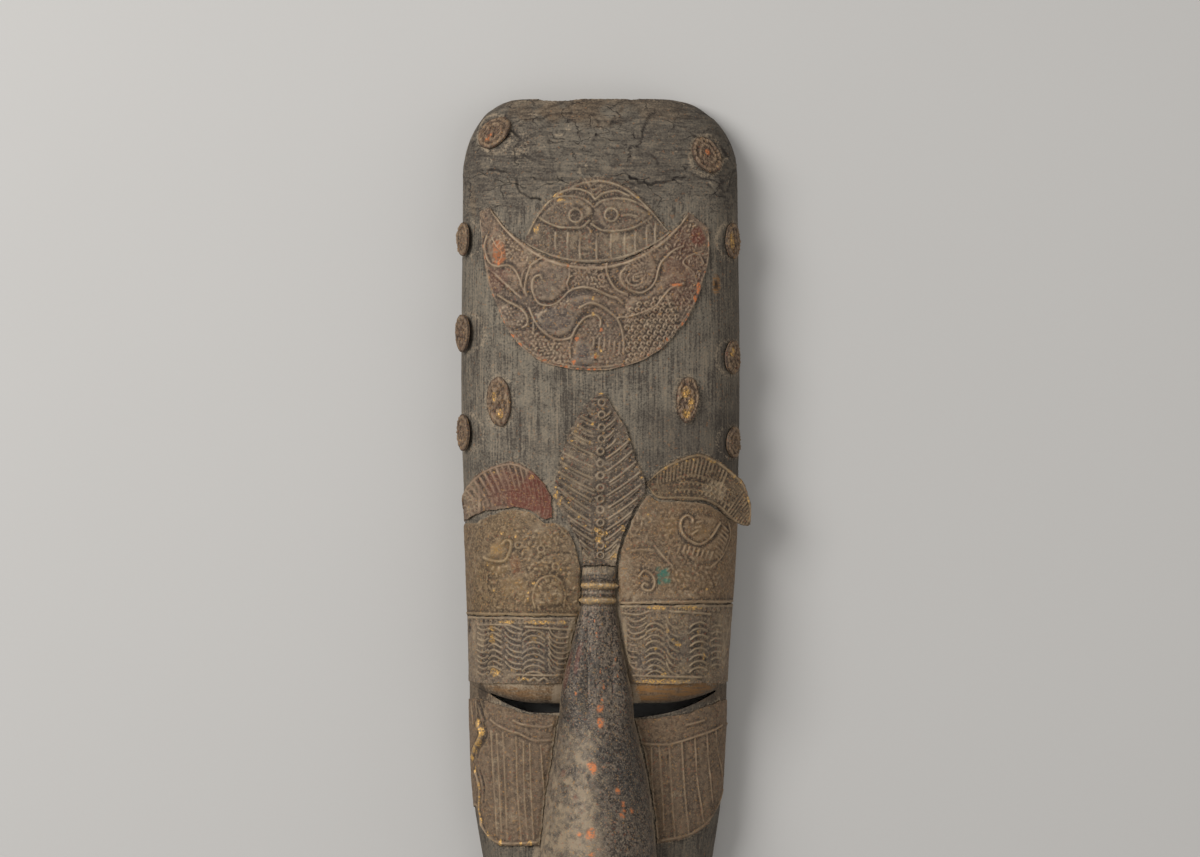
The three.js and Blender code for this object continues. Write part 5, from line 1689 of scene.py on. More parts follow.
@dataclass
class Rosette:
    """An oval medallion with a raised rim. A loose one stands flat off the wood."""

    face: Face
    finish: MetalFinish
    seed: int
    node: str
    x: float
    y: float
    half: float
    tall: float
    motif: Motif = Motif.RINGS
    turn: float = 0.0
    loose: float = 0.0
    shiny: Sequence[tuple[str, float, float, float, float]] = ()
    foot: float = 0.85
    bend: float = 100.0
    rings: int = 22
    sides: int = 72
    rim: Point = (0.84, 0.1)

    def relief(self, part: Array, angle: Array) -> Array:
        """Gives the height of the pattern.

        Args:
            part: how far out the points are, 1 at the rim.
            angle: their angles.

        Returns:
            The heights above the plain sheet.
        """
        rng = np.random.default_rng(self.seed)
        a, b = part * np.cos(angle), part * np.sin(angle)
        rim = (0.7 + 0.12 * np.sin(angle * 5 + self.seed)) * ridge(part, *self.rim)
        beads = 0.25 * np.cos(angle * 26 + 1) * ridge(part, *self.rim)
        if self.motif is Motif.RINGS:
            inner = 0.6 * ridge(part, 0.5, 0.09) + 0.8 * ridge(part, 0, 0.24)
        elif self.motif is Motif.FLOWER:
            inner = (0.45 + 0.45 * np.cos(angle * 8)) * ridge(part, 0.5, 0.16) + 0.7 * ridge(part, 0, 0.2)
        else:
            lumps = sum(ridge(a, x, 0.12) * ridge(b, y, 0.07) for x, y in rng.uniform(-0.68, 0.68, (40, 2)))
            inner = np.minimum(lumps, 1.1) * 0.7 * (part < 0.8)
        dents, crumbs = (
            sum(high * np.sin(a * p + b * q + r) for p, q, r in rng.uniform(-fine, fine, (count, 3)))
            for high, fine, count in ((0.09, 16, 9), (0.05, 46, 30))
        )
        return (rim + beads + inner + dents + crumbs) * (1 - smooth(part, 0.94, 1))

    def point(self, part: Array, angle: Array, height: Array) -> Array:
        """Gives points of the rosette.

        Args:
            part: the share of the way from its middle to its rim.
            angle: the way round it.
            height: the height above the wood.

        Returns:
            The points.
        """
        across = float(self.face.across_at(self.x, self.y))
        at = (np.array(across), np.array(self.y))
        normal, centre = self.face.outward(*at), self.face.skin(*at)
        up_axis = np.array([0.0, 1.0, 0.0]) - normal * normal[1]
        up_axis /= np.linalg.norm(up_axis)
        ragged = 0.975 + 0.02 * np.sin(angle * 3 + self.seed) + 0.012 * np.sin(angle * 7 + self.seed * 2)
        a, b = part * ragged * self.half * np.cos(angle), part * ragged * self.tall * np.sin(angle)
        right = a * math.cos(self.turn) - b * math.sin(self.turn)
        up = a * math.sin(self.turn) + b * math.cos(self.turn)
        flat = centre + right[..., None] * np.cross(up_axis, normal) + up[..., None] * up_axis
        slip = (self.face.skin(across + right / self.bend, self.y + up) - flat) @ normal
        return flat + normal * (height + (self.loose or slip))[..., None]

    def build(self) -> None:
        """Makes the rosette as one closed piece."""
        outwards, round_ = np.linspace(0, 1, self.rings) ** 0.9, np.linspace(0, 2 * math.pi, self.sides + 1)
        round_[-1] = 0
        part, angle = np.meshgrid(outwards, round_, indexing="ij")
        rise = self.relief(part, angle)
        marks = dict.fromkeys(SHEET_MARKS, np.zeros_like(part))
        mean = blurred(rise, 3)
        marks["raised"] = np.clip((rise - mean) / 0.35, 0, 1)
        # Dirt and painted shade in the dips, and a ring of painted shade at the rim's edge.
        marks["hollow"] = np.clip((mean - rise) / 0.35, 0, 0.8) + (part > 0.96) * 0.4
        for layer, a, b, wide, tall in self.shiny:
            off = np.hypot((part * np.cos(angle) - a) / wide, (part * np.sin(angle) - b) / tall)
            marks[layer] = np.maximum(marks[layer], 1 - smooth(off, 0.6, 1.2))
        shell = Shell()
        front = self.point(part, angle, self.foot + SHEET + rise)
        shell.cover(shell.grid(front, np.stack(list(marks.values()), axis=-1)))
        edge, around = np.ones((2, self.sides + 1)), np.stack([round_, round_])
        shell.cover(shell.grid(self.point(edge, around, np.array([[self.foot + SHEET], [self.foot]]) * edge)))
        inner, turns = np.meshgrid(np.linspace(1, 0, 4), round_, indexing="ij")
        shell.cover(shell.grid(self.point(inner, turns, np.full_like(inner, self.foot))))
        dress(shell.piece(self.node + "_look"), "brass", self.finish)


@dataclass
class MaskBody:
    """The hollow wooden face with both eye slits cut through."""

    face: Face
    wall: float = 11.0
    hollow_ends: Point = (308.0, -307.0)
    side_columns: int = 104
    nose_columns: int = 22
    dust_reach: float = 9.0
    dust_wide: float = 2.8
    slits: Sequence[Row] = ((-72, -26.5, 5.2, 0.55), (76.5, 20, 8.4, 0.9))
    cracks: Sequence[tuple[float, float, Line]] = (
        (1.1, -1.0, ((-75, 272.4), (-66.9, 271.8), (-61.2, 269.9), (-56.4, 265.6), (-54.5, 260.8),
                     (-50.6, 255.5), (-45.4, 253.2), (-39.7, 252.4))),
        (0.9, -0.8, ((-40.1, 305.9), (-32.4, 308.8), (-22.8, 310.3), (-13.2, 308.8), (-0.7, 304.6))),
        (0.8, -0.7, ((-0.7, 304.6), (-2.6, 299.2), (-4.6, 290.6), (-13.2, 289.6), (-21.8, 293.8))),
        (0.8, -0.7, ((-59.2, 299.2), (-55.4, 295.4), (-50.6, 292.5), (-49.7, 288.7), (-38.1, 289.6),
                     (-15.1, 289.6))),
        (0.8, -0.6, ((-0.7, 304.6), (11.7, 303.1), (19.4, 299.2), (29, 297.7))),
        (0.9, -0.8, ((36.7, 311.7), (31.9, 305.9), (29, 297.7), (27.1, 289.6), (30, 284.8))),
        (0.8, -0.7, ((36.7, 311.7), (46.3, 307.9), (55.9, 306.9), (63.5, 309.8))),
        (1.1, -1.0, ((19.4, 267.6), (27.1, 263.7), (36.7, 262.8), (46.3, 264.7), (55.9, 267.6))),
        (0.8, -0.6, ((27.1, 282.9), (36.7, 280), (38.6, 272.4), (36.7, 262.8))),
        (0.8, -0.6, ((-51.6, 264.7), (-45.4, 267), (-38.1, 264.7), (-32.4, 265.6))),
        (1.4, -2.2, ((77, 197.5), (76.6, 194))), (0.7, -0.5, ((55, 215), (57, 170), (56, 140))),
        (0.7, -0.4, ((-80, 150), (-79, 190))), (0.7, -0.4, ((70, 130), (71, 92))),
    )
    chips: Line = (
        (-62, 1.6), (-54.5, 1.1), (-47.7, 0.1), (-40, 0.5), (-32.4, 1.6), (-22.8, 2.0), (-17, 1.6),
        (-11.3, 0.5), (-3.6, 0), (4, 0.2), (13.7, 0.6), (19.4, 1.1), (27, 0.2), (34.8, 0), (42.4, 0.2),
        (48.2, 1.5), (60, 0.6),
    )

    def relief(self) -> Relief:
        """Carves the grain, the cracks and the tool marks.

        Returns:
            The wood's relief.
        """
        relief = Relief(self.face, (-155, -322), (155, 322), 0.5, 7)
        crown = smooth(relief.y, 245, 268)[:, None]
        ripple = 0.05 * relief.clouds(1.4, 26, 1) + 0.045 * relief.clouds(3.2, 60, 2)
        fibres = 0.45 * relief.clouds(30, 7, 3) + 0.3 * relief.clouds(12, 2.6, 4) - 0.3
        relief.height += ripple * (1 - crown) + fibres * crown
        relief.height += 0.3 * relief.clouds(26, 38, 5) + 0.06 * relief.clouds(2.2, 2.2, 6)
        self.crackle(relief)
        rng = np.random.default_rng(5)
        for wide, deep, points in self.cracks:
            route = Route(points)
            run = np.linspace(0, 1, max(2, int(route.length / 2.2)))
            wander = rng.uniform(-0.8, 0.8, (2, len(run)))
            cracked = [line + off for line, off in zip(route(run), wander)]
            relief.line(list(zip(*cracked)), wide * 0.7, deep * 0.85)
        return relief

    def crackle(self, relief: Relief) -> None:
        """Breaks the dry top of the head into flat flakes."""
        rows = relief.y > 243
        s, y = np.meshgrid(relief.s, relief.y[rows], indexing="xy")
        rng = np.random.default_rng(11)
        seeds = zip(rng.uniform(-105, 105, 90), rng.uniform(240, 322, 90))
        tilt = rng.uniform(-1, 1, 90)
        warped = s + 3 * clouds(s.shape, (14, 20), 5), y + 1.6 * clouds(s.shape, (12, 24), 6)
        first, second, owner = np.full(s.shape, 1e9), np.full(s.shape, 1e9), np.zeros(s.shape, int)
        for k, (a, b) in enumerate(seeds):
            far = np.hypot((warped[0] - a) / 1.9, warped[1] - b)
            closer = far < first
            second = np.where(closer, first, np.minimum(second, far))
            owner[closer] = k
            first = np.where(closer, far, first)
        crack = (1 - smooth(second - first, 0.1, 0.9)) * smooth(clouds(s.shape, (16, 22), 9), -0.5, 0.7)
        fade = smooth(y, 246, 262) * (0.35 + 0.65 * smooth(clouds(s.shape, (50, 60), 8), -0.4, 0.5))
        relief.height[rows] += (0.8 * tilt[owner] - 1.2 * crack) * fade

    def columns(self, rows: Array) -> Array:
        """Spaces the columns so that they follow the sides of the nose.

        Args:
            rows: the heights of the rows.

        Returns:
            The places across the face, row by row.
        """
        face, found = self.face, []
        share = np.linspace(0, 1, self.side_columns) ** 0.93
        turns = np.linspace(0, math.pi, self.nose_columns)
        for y in rows:
            half = max(float(face.nose_reach(y)), 10.2)
            nose = face.across_at(float(face.nose_mid(y)) - half * np.cos(turns), np.full(turns.shape, y))
            ends = face.unroll(np.array([-1, nose[0] - 0.012, nose[-1] + 0.012, 1]), np.full(4, y))
            left, right = (
                face.roll(start + (end - start) * share, np.full(share.shape, y))
                for start, end in (ends[:2], ends[:1:-1])
            )
            left[0], right[0] = -1, 1
            found.append(np.concatenate([left, nose, right[::-1]]))
        return np.array(found)

    def rows(self) -> Array:
        """Spaces the rows, close at the flaked head and at the slits."""
        level, start = self.face.slit_level, self.face.tip_start
        slit = level + np.array([13, 11, 9, 7.4, 6, 4.8, 3.7, 2.8, 2, 1.3, 0.7, 0.3, 0.08, 0, -0.6, -2])
        tip = start - self.face.tip * np.sin(np.linspace(0, math.pi / 2, 14))
        spans = (320, 246, -1.0), (246, -66, -2.0), (-85, start, -3.0), (-239, -273, -1.3), (-274, -310, -2.4)
        head, lids, low, lips, chin = (np.arange(*span) for span in spans)
        return np.concatenate([head, lids, slit, low, tip, lips, chin, [-311, -314, -316.6, -318.6, -320]])

    def ends(self, shell: Shell, points: Array, steps: Point, outside: bool) -> list[Array]:
        """Adds the walls at both ends of a face, down to the back plane.

        Args:
            shell: the mask's shell.
            points: the face's points.
            steps: how many rows each wall has.
            outside: whether they are the outer walls, whose upper one is ragged.

        Returns:
            The numbers of both lines on the back plane.
        """
        found = []
        for row, count in zip((0, -1), steps):
            share = np.linspace(0, 1, count)[:, None]
            wall = np.repeat(points[row][None], count, axis=0)
            wall[..., 2] *= 1 - share
            if outside and row == 0:
                x = wall[1:-1, :, 0]
                inset = np.abs(np.sin(x * 0.42)) * 0.5 + 0.35 * np.sin(x * 0.13 + 2)
                wall[1:-1, :, 1] -= 0.35 + 0.5 * np.sin(share[1:-1] * math.pi) * inset
            ids = shell.grid(wall)
            shell.cover(ids, turned=outside == (row == 0))
            found.append(ids[-1])
        return found

    def outer(self, shell: Shell) -> list[Array]:
        """Adds the carved face and the walls at both ends.

        Args:
            shell: the mask's shell.

        Returns:
            The numbers of its four borders on the back plane.
        """
        face, relief, rows = self.face, self.relief(), self.rows()
        across = self.columns(rows)
        y = np.repeat(rows[:, None], across.shape[1], axis=1)
        x = face.skin(across, y)[..., 0]
        along_slit = 1 - smooth(np.abs(y - face.slit_level), 18, 70)
        notches = 0.4 * np.abs(np.sin(x * 0.62) * np.sin(x * 1.13 + 0.5))
        chipped = smooth(y, 306, 320) * (np.maximum(Curve(self.chips)(x) - 0.6, 0) + notches)
        y = y + along_slit * (face.slit_top(x) - face.slit_level) - chipped
        rise = np.clip(relief.read(face.unroll(across, y), y, relief.height), -2.4, 0.38)
        rise = (rise * smooth(1 - np.abs(across), 0.0, 0.03) - 0.1) * smooth(y, 319.5, 316.0)
        points = face.on_wood(across, y, rise)
        points[..., 1] = np.minimum(points[..., 1], face.top)
        points[:, [0, -1], 2] = 0
        ids = shell.grid(points)
        shell.cover(ids)
        return [*self.ends(shell, points, (16, 7), True), ids[:, 0], ids[:, -1]]

    def inner(self, shell: Shell) -> list[Array]:
        """Adds the hollow with its adze marks, and the walls at both its ends.

        Args:
            shell: the mask's shell.

        Returns:
            The numbers of its four borders on the back plane.
        """
        face, (head, chin) = self.face, self.hollow_ends
        top, low = np.linspace(head, 285, 10), np.linspace(-288, chin, 10)
        rows = np.concatenate([top, np.arange(281, -285, -5.5), low])
        far = np.linspace(-1, 1, 56)
        across, y = np.meshgrid(np.sign(far) * np.abs(far) ** 1.25, rows, indexing="xy")
        side = np.where(across < 0, -1.0, 1.0)
        turn = (1 - np.abs(across)) * math.pi / 2
        reach, high = face.half_width(y * 1.01, side) - self.wall, face.crown(y * 1.01) - self.wall
        along = np.clip((y + 215) / 155, 0, 1)
        x = face.axis(y) + side * reach * np.cos(turn) ** (2 / 3)
        pocket = 13 * np.sin(along * math.pi) * np.maximum(0, 1 - (x / 34) ** 2)
        scoops = 0.5 * np.abs(clouds(x.shape, (3.5, 5), 21)) * np.sin(turn)
        points = np.stack([x, y, high * np.sin(turn) ** (2 / 3) + pocket + scoops], axis=-1)
        points[:, [0, -1], 2] = 0
        ids = shell.grid(points)
        shell.cover(ids, turned=True)
        return [*self.ends(shell, points, (8, 8), False), ids[:, 0], ids[:, -1]]

    def cutter(self, outer: float, inner: float, height: float, fullest: float) -> bpy.types.Object:
        """Makes the crescent that cuts an eye slit.

        Args:
            outer, inner: the x of its pointed end and of its open end.
            height: its height where it is fullest.
            fullest: the share of its length where it is full.

        Returns:
            The cutter, which is removed after use.
        """
        u = np.linspace(0, 1, 24)
        x = outer + (inner - outer) * u
        upper = self.face.slit_top(x) + 0.8
        lower = self.face.slit_top(x) - 0.6 - height * np.minimum(1, u / fullest) ** 0.9
        corners = ((upper, 20), (upper, 110), (lower, 110), (lower, 20), (upper, 20))
        points = np.stack([np.stack([x, y, np.full_like(x, z)], axis=-1) for y, z in corners])
        shell = Shell()
        ids = shell.grid(points)
        shell.cover(ids)
        for column, turned in ((ids[:, 0], True), (ids[:, -1], False)):
            shell.cover(np.array([[column[0], column[1]], [column[3], column[2]]]), turned=turned)
        return shell.piece("slit_cutter")

    def cut(self, piece: bpy.types.Object) -> None:
        """Cuts both eye slits through the face."""
        for sizes in self.slits:
            cutter = self.cutter(*sizes)
            tool = piece.modifiers.new("slit", "BOOLEAN")
            tool.operation, tool.solver, tool.object = "DIFFERENCE", "EXACT", cutter
            graph = bpy.context.evaluated_depsgraph_get()
            cut = bpy.data.meshes.new_from_object(piece.evaluated_get(graph))
            piece.modifiers.clear()
            piece.data = cut
            bpy.data.objects.remove(cutter)

    def halo(self, points: Array, outlines: Sequence[tuple[Array, float]]) -> Array:
        """Finds how dusty the wood is beside the sheets.

        Args:
            points: the wood's points.
            outlines: the sheets' edges, each with how dusty the wood beside it is.

        Returns:
            The dust at each point.
        """
        dust = np.zeros(len(points))
        for outline, strength in outlines:
            low = outline.min(axis=0)[:2] - self.dust_reach
            high = outline.max(axis=0)[:2] + self.dust_reach
            part = np.all((points[:, :2] > low) & (points[:, :2] < high), axis=1) & (points[:, 2] > 4)
            near = np.full(part.sum(), 1e9)
            for at in outline:
                near = np.minimum(near, ((points[part] - at) ** 2).sum(axis=1))
            dust[part] = np.maximum(dust[part], np.exp(-near / self.dust_wide**2) * strength)
        return dust

    def wear(self, mesh: bpy.types.Mesh, outlines: Sequence[tuple[Array, float]]) -> None:
        """Marks the dust around the sheets, the flaked head and the bare brown wood, and the painted light
        and shade: shade across the face, under the lids, inside the mask and in the slits, and highlights on
        the flake edges.

        Args:
            mesh: the mask's mesh.
            outlines: the sheets' edges, each with how dusty the wood beside it is.
        """
        co = np.zeros(len(mesh.vertices) * 3, np.float32)
        mesh.vertices.foreach_get("co", co)
        points = co.reshape(-1, 3).astype(float) / MILLIMETRE
        (x, y, z), face, relief = points.T, self.face, self.relief()
        relief.weather()
        # Painted shade in the nail hole and in the recess beside the left slit's end.
        relief.patches("hollow", (77, 196, 1.8, 3.4), (-78, -74, 5, 6, 0.7))
        relief.patches("copper", (77.2, 196, 3.4, 5.4))
        relief.patches("gold", (-15, 311, 26, 8, 1.0), (-52, 311, 10, 7, 0.7), (42, 311, 20, 6, 0.6),
                       (-84, 250, 6, 16, 0.6), (0, 304, 16, 5, 0.6))
        flaked = (
            (-27, 295, 5, 1.3), (-21, 298.5, 3, 1), (-9, 273, 1.2, 4), (-14, 271, 1.1, 3.4),
            (3, 281, 1.4, 1.1), (50, 284, 5, 1.1), (-44, 309, 6, 1.2),
        )
        flaked = [(at, level, wide, tall * 0.75) for at, level, wide, tall in flaked]
        relief.patches("dust", *flaked, strength=0.75)
        # The raised flake edges of the head become painted highlights, carried on the dust mark below.
        relief.layers["raised"] *= smooth(relief.y, 248, 264)[:, None]
        across = face.across_at(x, y)
        far = face.unroll(across, y)
        names = "raised", "hollow", "gold", "copper", "dust"
        flakes, hollow, worn, rimmed, scratches = (relief.read(far, y, relief.layers[name]) for name in names)
        front, rim = smooth(z, 6, 14), smooth(y, 312, 319) * 0.5
        # Dust along the nose's edges, which also lifts the shade in the groove there as painted light; full
        # length on the left, only the upper part on the right.
        valley_dust_and_light = ridge(np.abs(x - face.nose_mid(y)) - face.nose_reach(y), 2.5, 4)
        valley_dust_and_light *= smooth(-y, -8, 4) * np.where(x < 0, 1, smooth(y, -205, -60)) * (y > -215) * 0.9
        # A paler patch on the upper left of the head.
        light = ridge(x, -52, 16) * ridge(y, 288, 20) * 0.5
        between_brows = ridge(np.abs(x), 31, 5) * ridge(y, 50, 16) * 0.6
        halo = self.halo(points, outlines)
        dust = np.maximum.reduce([halo, valley_dust_and_light, light, flakes * 0.7, between_brows, scratches]) * front
        bare = smooth(y, -81.6, -78) * (1 - smooth(y, -70, -62)) * smooth(np.abs(x), 14, 24) * front
        bare = np.maximum.reduce([bare, (1 - smooth(z, 0.5, 3)) * 0.35, rim * 1.4 * front, worn])
        # Painted shade on the shade mark: darker to the right, at the head, over the lower right half, below
        # the slits and just above them under the curl of the lids.
        shade = 0.2 + 0.22 * smooth(x, -10, 70) + 0.3 * smooth(y, 240, 266)
        shade += 0.42 * smooth(x, 10, 50) * (1 - smooth(y, 100, 125))
        shade = np.where(y < -82, 0.55 + 0.2 * (x > 0), shade)
        above = y - face.slit_top(x)
        lidded = smooth(np.abs(x), 18, 26) * (1 - smooth(np.abs(x), 72, 82)) * smooth(above, -0.6, 0.2)
        shade = np.maximum(shade, lidded * (1 - smooth(above, 0.5, 8)) * np.where(x > 0, 0.55, 0.7))
        glaze = lidded * smooth(above, 1, 5) * (1 - smooth(y, -68, -62)) * np.where(x > 0, 1.25, 0.4)
        # Painted shade: the walls inside the eye slits go black on the hollow mark, and the inside of the
        # mask goes darker on the shade mark.
        in_slit = (face.skin(across, y)[:, 2] - z > 1.5) & (np.abs(y + 84) < 14) & (z > 20)
        inside = face.crown(y) - self.wall - 4 > z
        edge = y + 7 * np.sin(x * 0.07 + 1) + 4 * np.sin(x * 0.19) + 2 * np.sin(x * 0.53)
        marks = {
            "level": smooth(edge, 240, 254), "hollow": np.maximum(hollow * front, in_slit), "bare": bare,
            "shade": np.clip(shade, 0, 1) * front + 0.2 * inside,
            # The left bulge just above its slit is paler.
            "dust": np.maximum(dust, rim * 0.7) + 0.3 * lidded * (x < 0) * (y > -82) * (y < -66),
            "glaze": np.maximum(glaze, rimmed),
        }
        put_marks(mesh, WOOD_MARKS, np.stack([marks[name] for name in WOOD_MARKS], axis=-1))

    def build(self, outlines: Sequence[tuple[Array, float]]) -> None:
        """Makes the mask's wooden body.

        Args:
            outlines: the sheets' edges, each with how dusty the wood beside it is.
        """
        shell = Shell(WOOD_MARKS)
        shell.close(self.outer(shell), self.inner(shell))
        piece = shell.piece("mask_body_look", 40)
        self.cut(piece)
        piece.data.shade_smooth()
        piece.data.set_sharp_from_angle(angle=math.radians(40))
        self.wear(piece.data, outlines)
        dress(piece, "wood", WoodFinish())


@dataclass
class Studio:
    """The pale floor, the soft light and the camera above the mask."""

    middle: Point = (0.0, 101.0)
    height: float = 5000.0
    focal: float = 224.8
    sensor: float = 36.0
    far_clip: float = 50.0
    floor_size: float = 9.0
    floor_drop: float = 0.0002
    aim: Row = (0, 0.08, 0.03)
    floor: Colour = (181, 179, 176)
    worn_floor: Colour = (165, 163, 160)
    world: Row = (1.0, 0.985, 0.965, 1.0)
    world_strength: float = 0.42
    lamps: Sequence[tuple[str, Row, float, float]] = (
        ("key", (-1.6, 1.05, 2.0), 1.4, 68.0), ("fill", (1.9, -0.4, 2.2), 2.4, 16.0),
    )

    def lay_floor(self) -> None:
        """Lays the plain pale floor."""
        bpy.ops.mesh.primitive_plane_add(size=self.floor_size, location=(0, 0, -self.floor_drop))
        floor = bpy.context.active_object
        floor.name = "floor"
        bench = Bench("floor")
        cloud, grain = bench.noise((5, 5, 5), 1, 4), bench.noise((700, 700, 700), 2, 2)
        shade = (cloud * 0.6 + grain * 0.4).eased(0.3, 0.7) * 0.06
        colour = bench.mix(shade, self.floor, self.worn_floor)
        floor.data.materials.append(bench.finish(colour, 0.85 + 0.05 * grain, 0.0, grain, 0.05, 0.1))

    def light(self) -> None:
        """Hangs a large soft light up on the left, and a weak one on the right."""
        target = Vector(self.aim)
        for name, place, size, energy in self.lamps:
            lamp = bpy.data.lights.new(name, "AREA")
            lamp.shape, lamp.size, lamp.energy = "SQUARE", size, energy
            holder = bpy.data.objects.new(name, lamp)
            holder.location = place
            holder.rotation_euler = (target - Vector(place)).to_track_quat("-Z", "Y").to_euler()
            bpy.context.scene.collection.objects.link(holder)
        world = bpy.data.worlds.new("studio")
        world.use_nodes = True
        inputs = world.node_tree.nodes["Background"].inputs
        inputs["Color"].default_value, inputs["Strength"].default_value = self.world, self.world_strength
        bpy.context.scene.world = world

    def set_camera(self) -> None:
        """Points the camera straight down at the upper part of the mask."""
        camera = bpy.data.cameras.new("camera")
        camera.lens, camera.sensor_width, camera.clip_end = self.focal, self.sensor, self.far_clip
        holder = bpy.data.objects.new("camera", camera)
        holder.location = Vector((*self.middle, self.height)) * MILLIMETRE
        bpy.context.scene.collection.objects.link(holder)
        bpy.context.scene.camera = holder
        bpy.context.scene.view_settings.view_transform = "Standard"


def rosettes(face: Face) -> Iterator[Rosette]:
    """Lists the rosettes from the top down, first those at the sides."""
    brass = MetalFinish("rosette_brass", (50, 39, 32), (96, 77, 62), (110, 89, 69), (146, 124, 98), line=0.6,
                        seed=53)
    for k, (name, x, y, half, tall, motif, *rest) in enumerate((
        ("top_left", -70, 297, 11, 13, Motif.RINGS, -0.6, 0.0, (("copper", 0.1, -0.4, 0.12, 0.3),)),
        ("top_right", 70.5, 281.8, 10.5, 13.4, Motif.RINGS, 0.35, 0.0, (("copper", 0.05, 0.1, 0.2, 0.16),)),
        ("left_upper", -88, 226.6, 10.5, 11.4, Motif.RINGS, 0.0, 1.6),
        ("left_middle", -88, 164.4, 12, 12.8, Motif.FLOWER, 0.0, 2.0),
        ("left_lower", -88, 98.4, 11, 12.4, Motif.RINGS, 0.0, 1.4),
        ("right_upper", 87.4, 225.2, 10.5, 12.2, Motif.FLOWER, 0.0, 0.0, (("gold", -0.4, 0.0, 0.3, 0.5),)),
        ("right_middle", 87.4, 148, 10.5, 11.6, Motif.FLOWER, 0.0, 0.0, (("gold", -0.3, 0.3, 0.25, 0.3),)),
        ("right_lower", 88, 91.8, 10.5, 10.8, Motif.RINGS),
        ("inner_left", -66.3, 118.8, 9, 16.8, Motif.BLOCKS, 0.06, 0.0,
         (("gold", 0.1, -0.5, 0.3, 0.2), ("gold", -0.3, 0.2, 0.2, 0.2))),
        ("inner_right", 57.4, 120.2, 8, 15.6, Motif.BLOCKS, -0.06, 0.0,
         (("gold", -0.2, 0.3, 0.4, 0.25), ("gold", 0.3, -0.2, 0.3, 0.3), ("gold", -0.1, -0.6, 0.4, 0.2))),
    )):
        yield Rosette(face, brass, 60 + k, "rosette_" + name, x, y, half, tall, motif, *rest)


def forehead_sheets(face: Face) -> Iterator[Sheet]:
    """Lists the sheets on the forehead and over the root of the nose."""
    metal = MetalFinish("crescent_copper", (52, 42, 35), (124, 103, 84), (102, 86, 72), (162, 142, 117),
                        seed=3)
    yield CrescentPlate(face, "crescent_plate", "copper", metal, 430, 128, 2)
    metal = MetalFinish("plaque_copper", (50, 41, 34), (96, 81, 68), (105, 90, 74), (160, 142, 117), seed=7)
    yield FacePlaque(face, "face_plaque", "copper", metal, 190, 96, 3)
    metal = MetalFinish("leaf_copper", (48, 41, 35), (97, 85, 73), (110, 95, 79), (164, 145, 119), line=0.6,
                        seed=11)
    yield LeafPlate(face, "leaf_plate", "copper", metal, 215, 112, 4, proud=0.6)


def brow_sheets(face: Face) -> Iterator[Sheet]:
    """Lists the sheets over the brows."""
    metal = MetalFinish("red_copper", (52, 39, 33), (108, 87, 71), (118, 97, 79), (152, 128, 104), line=0.6,
                        seed=17)
    yield LeftBrow(
        face, "eyebrow_plate_left", "red_copper", metal, 160, 66, 5,
        ((-92, 47), (-88.4, 59.4), (-79, 71), (-68, 77), (-57, 78.8), (-46.5, 74.1), (-38, 66.5),
         (-32.6, 57)),
        ((-92, 39), (-80, 44.6), (-68.6, 47.6), (-55.4, 49), (-44.2, 46.4), (-37, 41.4), (-31.5, 42)),
    )
    metal = MetalFinish("brow_copper", (52, 42, 33), (94, 78, 60), (106, 88, 66), (152, 130, 100), dusty=0.2,
                        line=0.66, speckle=0.6, seed=19)
    yield RightBrow(
        face, "eyebrow_plate_right", "copper", metal, 180, 66, 6,
        ((30.6, 65.6), (41.9, 75.5), (57.8, 83.2), (66, 84.6), (76, 80.4), (88.1, 71), (94.6, 64), (98.8, 50),
         (97.8, 37.8)),
        ((31.4, 62.6), (38.1, 55), (55.4, 54), (68, 53), (76.8, 49), (84.3, 42), (90.4, 38), (96, 36.4)),
        hinge=77.0,
    )


def lid_sheets(face: Face) -> Iterator[Sheet]:
    """Lists the sheets over the upper parts of the eyelids."""
    metal = MetalFinish("lid_copper_left", (58, 45, 33), (106, 86, 61), (114, 94, 70), (164, 142, 110),
                        dusty=0.4, speckle=0.55, line=0.66, seed=23)
    yield LeftLid(
        face, "eyelid_plate_left", "copper", metal, 190, 124, 7,
        ((-80.5, 38.2), (-73, 42.8), (-65.3, 46), (-55.4, 47.6), (-44.2, 44.4), (-37, 39), (-29, 38.6),
         (-21.5, 34), (-17.4, 25), (-14.4, 13), (-13.6, 5)),
    )
    metal = MetalFinish("lid_copper_right", (62, 49, 38), (116, 94, 70), (104, 86, 66), (162, 140, 112),
                        dusty=0.35, line=0.72, seed=29)
    yield RightLid(
        face, "eyelid_plate_right", "copper", metal, 190, 124, 8,
        ((84, 40.4), (76, 47.6), (68, 51.4), (55.4, 52.4), (38.1, 53.2), (31.4, 57), (24.4, 45.6), (18.8, 34),
         (14.8, 23), (13, 12), (12.6, 4)),
        side=1.0, inner_foot=13.0, level=-14.4,
    )


